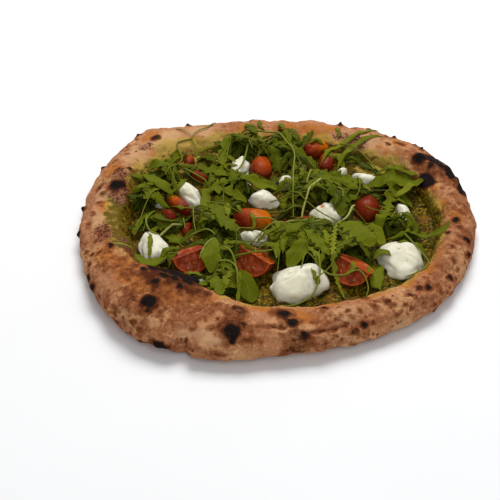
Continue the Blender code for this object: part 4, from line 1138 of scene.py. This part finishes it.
def make_wedge(index, finishes):
    """A wedge lying on its skin, ridge up, with a cut face on either side."""
    _, _, length, _, depth, _, _, orange = TOMATOES[index]
    draw = random.Random(TOMATO_SEED + index)
    shift = index * 7.7
    half = radians(WEDGE_HALF)
    reach = 1 - (1 - np.linspace(0, 1, WEDGE_FACE)[1:]) ** 1.3
    skin = np.linspace(-half, half, WEDGE_SKIN)[1:-1]
    r = np.concatenate(([0], reach, np.ones(len(skin)), reach[::-1]))[None]
    turn = np.concatenate(([0], np.full(len(reach), -half), skin, np.full(len(reach), half)))[None]
    side = np.concatenate(([0], -np.ones(len(reach)), 0 * skin, np.ones(len(reach))))[None]
    cut = side != 0
    along = np.linspace(.06, pi - .06, WEDGE_LONG)[:, None]
    wide = np.sin(along) ** .9
    unit = xyz(-np.cos(along), wide * r * np.sin(turn), -wide * r * np.cos(turn))
    points = unit * (length / 2, depth, depth)
    wall_in = ramp(r, .95, .84) * ramp(r, .04, .18) * ramp(np.abs(unit[..., 0]), .95, .80)
    rib = np.abs(unit[..., 0] - draw.uniform(-.15, .15))
    jelly = wall_in * ramp(rib, .02, .10)
    hollow = .9 * jelly - .7 * wall_in * fractal(points + shift, 4, 2)
    across = xyz(0, -side * cos(half), -np.abs(side) * sin(half))
    points = points + across * (hollow * cut)[..., None]
    bulge = .45 * fractal(points + shift, 9, 2) * (r > .9)
    points = points + bulge[..., None] * xyz(0, np.sin(turn), -np.cos(turn))
    build = Build()
    faces = grid_faces(*points.shape[:2])
    # painted light: the cut face turned away from the camera, up towards the back lamp, is made 2.6
    # times as orange as the other
    warm = np.where(side > 0, orange * 2.6, orange) + 0 * along
    build.add(points, faces, 0, jelly=jelly, orange=warm * (.4 + .6 * cut))
    build.slots = cut[0, faces[:, 0] % points.shape[1]].astype(int).tolist()
    build.close(*points.shape[:2], points[0].mean(0) - (.4, 0, 0), points[-1].mean(0) + (.4, 0, 0),
                orange=orange)
    wedge_seeds(build, draw, length, depth, half)
    return place_tomato(build, index, finishes, False)


def make_half(index, finishes):
    """A halved tomato, skin up, over its hidden cut face."""
    _, _, length, width, depth, _, _, orange = TOMATOES[index]
    draw = random.Random(TOMATO_SEED + index)
    lowest = acos(-CUT_BELOW)
    down = np.linspace(0.02, lowest, SKIN_ROWS)[:, None]
    turn = np.linspace(0, 2 * pi, TOMATO_AROUND, endpoint=False)[None]
    square = 1.0 if index == ROUND_TOMATO else .80
    plan = [signed_power(trig(turn), square) for trig in (np.cos, np.sin)]
    rise = signed_power(np.cos(down), square)
    skin = xyz(np.sin(down) * plan[0], np.sin(down) * plan[1], rise)
    shift = index * 7.7
    skin = skin * (1 + .05 * fractal(skin * 10 + shift, 7, 2) - .02 * np.cos(3 * turn + index)
                   * np.sin(down))[..., None]
    edge = skin[-1]
    ring = np.linspace(1, 0.03, FACE_RINGS)[:, None]
    face = edge[None] * ring[..., None]
    chambers = 2 if length > 1.25 * width else 3
    first = draw.uniform(0, 2 * pi)
    ribs = np.abs(np.cos((turn - first) * chambers / 2))
    jelly = ramp(ring, .82, .72) * ramp(ring, .16, .30) * ramp(ribs, .16, .36)
    rough = .02 * fractal(face * 10 + shift, 2, 2)
    face[..., 2] = -CUT_BELOW + .10 * jelly + .05 * ramp(ring, .90, 1.0) + rough
    face[0] = edge
    build = Build()
    size = np.array((length / 2, width / 2, depth / (1 + CUT_BELOW)))
    # painted light: more orange towards the top and towards one side, over the tomato's own orange
    warm = orange + .5 * skin[..., 0] * cos(index) + .3 * skin[..., 2] - .25
    build.add(skin * size, grid_faces(*skin.shape[:2]), 0, orange=warm)
    build.cap(0, TOMATO_AROUND, (0, 0, size[2]), orange=orange)
    inmost = build.count + (FACE_RINGS - 1) * TOMATO_AROUND
    build.add(face * size, grid_faces(*face.shape[:2]), 1, jelly=jelly, orange=orange)
    build.cap(inmost, TOMATO_AROUND, (0, 0, -CUT_BELOW * size[2]), slot=1)
    half_seeds(build, draw, size, chambers, first)
    return place_tomato(build, index, finishes, True)


# ---- cheese

CHEESE_AROUND, CHEESE_ROWS = 76, 36


def cheese_marks(index, grid, faces):
    """Where oil has dropped on a dollop, and where pesto sticks to it."""
    x, y, length, *_ = CHEESES[index]
    tree = tree_of(grid, faces)
    drop, fleck = np.zeros(grid.shape[:2]), np.zeros(grid.shape[:2])
    for mx, my, size, warm in CHEESE_MARKS:
        if hypot(mx - x, my - y) < length:
            away = np.linalg.norm(grid - sight_hit(tree, mx, my), axis=-1) / (size * .6)
            layer = drop if warm else fleck
            np.maximum(layer, bell(away), out=layer)
    return drop, fleck


def make_cheese(index, finish):
    """A dollop: a flattened ball with a wavy outline, folds and humps."""
    x, y, length, width, height, heading = CHEESES[index]
    draw = random.Random(CHEESE_SEED + index)
    phases = [draw.uniform(0, 2 * pi) for _ in CHEESE_WAVES]
    fine = min(1.0, (length * width) ** .5 / 26)
    down = np.linspace(0.03, pi * .93, CHEESE_ROWS)[:, None]
    turn = np.linspace(-pi, pi, CHEESE_AROUND, endpoint=False)[None]
    ball = xyz(np.sin(down) * np.cos(turn), np.sin(down) * np.sin(turn), np.cos(down))
    wobble = sum(deep * np.sin(lobes * turn + phase)
                 for (lobes, deep), phase in zip(CHEESE_WAVES, phases))
    lump = np.array([noise.noise(Vector(p) * 1.6 + Vector((index * 3.1, 0, 0)))
                     for p in ball.reshape(-1, 3)]).reshape(ball.shape[:2]) * CHEESE_LUMP
    full = signed_power(ball[..., 2], 1.1)
    rise = (np.maximum(full, -CHEESE_FLAT) + CHEESE_FLAT) / (1 + CHEESE_FLAT)
    flat = np.stack((ball[..., 0] * length / 2, ball[..., 1] * width / 2), -1)
    flat = flat * (1 + wobble + lump)[..., None]
    a = radians(heading)
    plan = flat @ np.array(((cos(a), sin(a)), (-sin(a), cos(a)))) + (x, y)
    level = SEAT - BED * 1.5 + rise * (height + BED) * (1 + lump)
    for hx, hy, size, high in CHEESE_HUMPS.get(index, ()):
        away = np.hypot(plan[..., 0] - hx, plan[..., 1] - hy)
        level = level + high * rise * bell(away, spread=size)
    grid = xyz(plan[..., 0], plan[..., 1], level)
    normal = surface_normals(grid)
    shift = 31.0 * index
    folds = 1 - np.abs(fractal(grid * (1, 1, 1.6) + shift, 15, 1))
    lumps = .75 * fractal(grid + shift, 12, 1) + .16 * fractal(grid + shift, 2.8, 2)
    relief = (lumps - .8 * ramp(folds, .70, 1.0)) * fine * ramp(rise, .02, .25)
    edge = bell(rise, .10, .10) * fractal(grid * (1, 1, 0) + shift, 6, 2) * 1.4 * fine
    grid = grid + normal * (relief + edge)[..., None]
    # how low a point lies on the dollop; the finish paints the lower part darker and greener as shade
    low = ramp(grid[..., 2], SEAT + .45 * height, SEAT - .5)
    faces = grid_faces(*grid.shape[:2])
    drop, fleck = cheese_marks(index, grid, faces)
    build = Build()
    build.add(grid, faces, low=low, drop=drop, fleck=fleck)
    build.close(CHEESE_ROWS, CHEESE_AROUND, grid[0].mean(0) + (0, 0, .02), grid[-1].mean(0))
    node = "cheese_%d" % (index + 1)
    build.piece(node + "_dollop", [finish], "cheese", node)
    return np.vstack(build.points), build.faces


# ---- rocket

LEAF_PITCH, FILLER_PITCH = 1.4, 1.6
STALK_PITCH, STALK_SIDES = 2.2, 8
LAY_ROUNDS = 70


def leaf_outline(kind, share, length, draw):
    """Half width of one side of a leaf along it, against the widest half."""
    full = np.clip(share, 0, 1)
    stem = ramp(full, .02, .22)
    if kind == "oval":
        shape = np.sin(pi * full ** 1.15) ** .65 * (.15 + .85 * stem)
        return np.clip(shape + .05 * np.sin(full * 19 + draw.uniform(0, 6)), .05, None)
    pitch, depth, until = {"toothed": (6.4, .54, .93), "lobed": (8.5, .82, .74),
                           "fern": (4.5, .86, .97)}[kind]
    count = max(2, round(length * until / pitch / draw.uniform(.8, 1.25)))
    envelope = np.sin(pi * full ** .95) ** .55 * (.2 + .8 * stem)
    warp = full + .035 * np.sin(full * 9 + draw.uniform(0, 6))
    saw = (warp * count / until + draw.uniform(-.2, .2)) % 1.0
    tooth = np.where(saw < .72, (saw / .72) ** .8, ((1 - saw) / .28) ** 1.1)
    uneven = 1 + .25 * np.sin(full * draw.uniform(9, 16) + draw.uniform(0, 6))
    cut = np.clip(depth * uneven * (1 - tooth), 0, .93) * ramp(full, until + .04, until - .06)
    return np.clip(envelope * (1 - cut), .05, None)


def settle(need, pitch, sag, droop):
    """Heights of a springy ribbon that rests on the levels it needs."""
    heights = need.copy()
    fall = droop * pitch
    for _ in range(LAY_ROUNDS):
        middle = .5 * (heights[:-2] + heights[2:]) - sag
        heights[1:-1] = np.maximum(need[1:-1], middle)
        heights[0] = max(need[0], heights[1] - fall)
        heights[-1] = max(need[-1], heights[-2] - fall)
    return heights


def spread_lift(lift):
    """Ease a lift out into its neighbours so that it bends the leaf instead of denting it."""
    for _ in range(3):
        padded = np.pad(lift, 1, mode="edge")
        smooth = (padded[:-2, 1:-1] + padded[2:, 1:-1] + padded[1:-1, :-2] + padded[1:-1, 2:]) / 4
        lift = np.maximum(lift, smooth * .92)
    return lift


def leaf_faces(count, wide):
    """Faces of a leaf's solid: its skin, and a strip of quads over each end."""
    faces = [grid_faces(count, 2 * wide)]
    strip = np.arange(wide - 1)
    for base in (0, (count - 1) * 2 * wide):
        cap = np.stack((base + strip, base + strip + 1, base + 2 * wide - 2 - strip,
                        base + 2 * wide - 1 - strip), 1)
        faces.append(cap if base == 0 else cap[:, ::-1])
    return np.vstack(faces)


def lay_leaf(build, relief, draw, kind, width, tone, points, pitch, loose):
    """One leaf as a thin wavy solid, laid on what is below it; a loose one arches and twists."""
    path = smooth_path(points, pitch)
    count = len(path)
    share = np.linspace(0, 1, count)
    length = pitch * (count - 1)
    ahead, side = sides_of(path)
    half = max(4, min(7, round(width / 3)))
    u = np.linspace(-1, 1, 2 * half + 1)
    left, right = (leaf_outline(kind, share, length, draw) * width / 2 for _ in range(2))
    reach = np.where(u < 0, left[:, None], right[:, None]) * np.abs(u)
    twist = (draw.uniform(-.5, .5) + draw.uniform(-1.0, 1.0) * (share - .5)) * loose
    cup = draw.uniform(.10, .50) * draw.choice((1, 1, -1)) * loose
    sweep = draw.uniform(.20, .45) if kind != "oval" else .12
    run = side[:, None] * (np.sign(u) * reach * np.cos(twist)[:, None])[..., None]
    forward = ahead[:, None] * (sweep * np.abs(u) ** 1.5 * reach)[..., None]
    plan = path[:, None] + run + forward
    floor = relief.at(plan[..., 0], plan[..., 1])
    need = np.percentile(floor, 65, axis=1) + LEAF_CLEAR
    heights = settle(need, pitch, .012, .45) + draw.uniform(.3, 3.4) * loose * np.sin(pi * share) ** 1.2
    lift = np.sign(u) * reach * np.sin(twist)[:, None] + cup * reach ** 2 / (width / 2)
    ripple = np.sin(share * length / draw.uniform(1.6, 3.0) + draw.uniform(0, 6))[:, None]
    lift = lift + ripple * np.sign(u) ** draw.choice((1, 2)) * np.abs(u) ** 2 * reach * .24
    level = np.minimum(heights[:, None] + lift, HEAP_TOP - 1)
    level = level + spread_lift(np.clip(floor + LEAF_CLEAR - level, 0, None))
    top = xyz(plan[..., 0], plan[..., 1], level)
    relief.rest(top + (0, 0, LEAF_THICKNESS))
    relief.rest((top[:, 1:] + top[:, :-1]) / 2 + (0, 0, LEAF_THICKNESS))
    thin = LEAF_THICKNESS * (1 - .6 * np.abs(u) ** 4)
    loop = np.concatenate((top + xyz(0, 0, thin), top[:, ::-1]), 1)
    wide = len(u)
    both = np.concatenate((u, u[::-1]))
    build.add(loop, leaf_faces(count, wide), 0,
              across=np.broadcast_to(both * width / 16, (count, 2 * wide)),
              along=np.repeat(share * length / 22, 2 * wide), tone=tone + draw.uniform(-.05, .05),
              under=np.tile(np.repeat((0.0, 1.0), wide), count))


def lay_stalk(build, relief, draw, width, tone, points):
    """One stalk: a thin tapering tube, laid in the heap."""
    path = smooth_path(points, STALK_PITCH)
    count = len(path)
    share = np.linspace(0, 1, count)
    radius = width / 2 * .8 * (1 - .35 * share)
    floor = relief.at(path[:, 0], path[:, 1])
    bow = draw.uniform(.2, 1.6)
    heights = settle(floor + radius + .1, STALK_PITCH, .03, .5) + bow * np.sin(pi * share)
    heights = np.minimum(heights, HEAP_TOP - 1)
    _, side = sides_of(path)
    turn = np.linspace(0, 2 * pi, STALK_SIDES, endpoint=False)
    centre = np.column_stack((path, heights))
    ends = np.where((share < .001) | (share > .999), .35, 1.0)
    out = xyz(side[:, :1] * np.cos(turn), side[:, 1:] * np.cos(turn), np.sin(turn))
    grid = centre[:, None] + out * (radius * ends)[:, None, None]
    relief.rest(centre + xyz(0, 0, radius))
    first, last = build.count, build.count + count * STALK_SIDES - 1
    build.add(grid, grid_faces(count, STALK_SIDES), tone=tone)
    build.faces += [range(first, first + STALK_SIDES), range(last, last - STALK_SIDES, -1)]
    build.slots += [0, 0]


def filler_path(draw, taken, spread, long):
    """Points of a leaf in the body of the heap, clear of the larger toppings."""
    while True:
        angle, share = draw.uniform(0, 360), sqrt(draw.random())
        edge = float(around(CORE_RADIUS, np.array(angle))) * spread
        x, y = (share * edge * trig(radians(angle)) for trig in (cos, sin))
        heading, length, bend = draw.uniform(0, 2 * pi), draw.uniform(*long), draw.uniform(-6, 6)
        dx, dy = length / 2 * cos(heading), length / 2 * sin(heading)
        points = ((x - dx, y - dy), (x - dy / length * bend, y + dx / length * bend), (x + dx, y + dy))
        if all(hypot(px - cx, py - cy) > near for px, py in points for cx, cy, near in taken):
            return points


def add_fillers(draw, relief, leaf, taken, name, count, spread, long, wide, tones, loose):
    """One layer of the heap's body; gives back its leaves' paths."""
    build, paths = Build(), []
    for _ in range(count):
        kind = draw.choice(FILLER_KINDS)
        path = filler_path(draw, taken, spread, long)
        width, tone = draw.uniform(*wide), draw.uniform(*tones)
        lay_leaf(build, relief, draw, kind, width, tone, path, FILLER_PITCH, loose)
        paths.append(path)
    build.piece(name, [leaf], "rocket", "rocket")
    return paths


def make_rocket(leaf, stalk, relief):
    """The heap: its body, the leaves that show singly, then stalks."""
    draw = random.Random(ROCKET_SEED)
    taken = [(x, y - front, CLEAR_SHARE * sqrt(length * width) + CLEAR_ROOM)
             for x, y, length, width, *_ in CHEESES + TOMATOES
             if length * width > LARGE_TOPPING for front in (0, CLEAR_FRONT)]
    for layer in FILLERS:
        paths = add_fillers(draw, relief, leaf, taken, *layer)
    leaves = Build()
    for kind, width, tone, *points in LEAVES:
        lay_leaf(leaves, relief, draw, kind, width, tone, points, LEAF_PITCH, .8)
    leaves.piece("rocket_leaves", [leaf], "rocket", "rocket")
    stalks = Build()
    for (x, y), (u, v), (p, q) in paths[::5]:
        wander = draw.uniform(-8, 8)
        start = (x - .7 * (p - x) + wander, y - .7 * (q - y) - wander)
        if hypot(*start) < STALK_EDGE:
            points = (start, (x, y), (u, v), (.7 * p + .3 * u, .7 * q + .3 * v))
            lay_stalk(stalks, relief, draw, draw.uniform(1.1, 1.6), draw.uniform(.15, .55), points)
    for width, tone, *points in STALKS:
        lay_stalk(stalks, relief, draw, width, tone, points)
    stalks.piece("rocket_stalks", [stalk], "rocket", "rocket")


# ---- setting

def make_floor(finish):
    corners = [(x * FLOOR_HALF, y * FLOOR_HALF, 0) for x, y in ((-1, -1), (1, -1), (1, 1), (-1, 1))]
    mesh = bpy.data.meshes.new("floor")
    mesh.from_pydata(corners, [], [(0, 1, 2, 3)])
    mesh.materials.append(finish)
    floor = bpy.data.objects.new("floor", mesh)
    floor.location.z = FLOOR_LEVEL
    bpy.context.scene.collection.objects.link(floor)


def make_light(name, place, size, power, colour):
    """A soft square lamp that points at the pizza."""
    lamp = bpy.data.lights.new(name, "AREA")
    lamp.size = size
    lamp.energy = power
    lamp.color = colour
    holder = bpy.data.objects.new(name, lamp)
    holder.location = place
    holder.rotation_euler = (-Vector(place)).to_track_quat("-Z", "Y").to_euler()
    bpy.context.scene.collection.objects.link(holder)


def make_setting():
    scene = bpy.context.scene
    scene.view_settings.view_transform = "Standard"
    world = bpy.data.worlds.new("studio")
    world.use_nodes = True
    light = world.node_tree.nodes["Background"].inputs
    light["Color"].default_value = (1, 1, 1, 1)
    light["Strength"].default_value = WORLD_LIGHT
    scene.world = world
    make_light(*BACK_SOFTBOX)
    make_light(*FRONT_FILL)
    lens = bpy.data.cameras.new("camera")
    lens.lens = LENS
    lens.sensor_width = SENSOR
    camera = bpy.data.objects.new("camera", lens)
    camera.location = camera_place() * MM
    camera.rotation_euler = (radians(90 - CAMERA_RISE), 0, 0)
    scene.collection.objects.link(camera)
    scene.camera = camera


def main():
    make_floor(floor_finish())
    make_setting()
    relief = Relief()
    crust, crust_faces = make_crust(dough_finish())
    relief.cast(crust, crust_faces)
    spread = make_pesto(pesto_finish())
    make_pesto_bits(pesto_bit_finish(), spread)
    np.maximum(relief.top, np.where(relief.top > BASE - .5, PESTO_LEVEL + .6, 0), out=relief.top)
    tomato = [tomato_skin_finish(), tomato_flesh_finish(), seed_finish()]
    for index in range(len(TOMATOES)):
        relief.cast(*(make_wedge if index in WEDGES else make_half)(index, tomato))
    cheese = cheese_finish()
    for index in range(len(CHEESES)):
        relief.cast(*make_cheese(index, cheese))
    make_rocket(leaf_finish(), stalk_finish(), relief)


main()
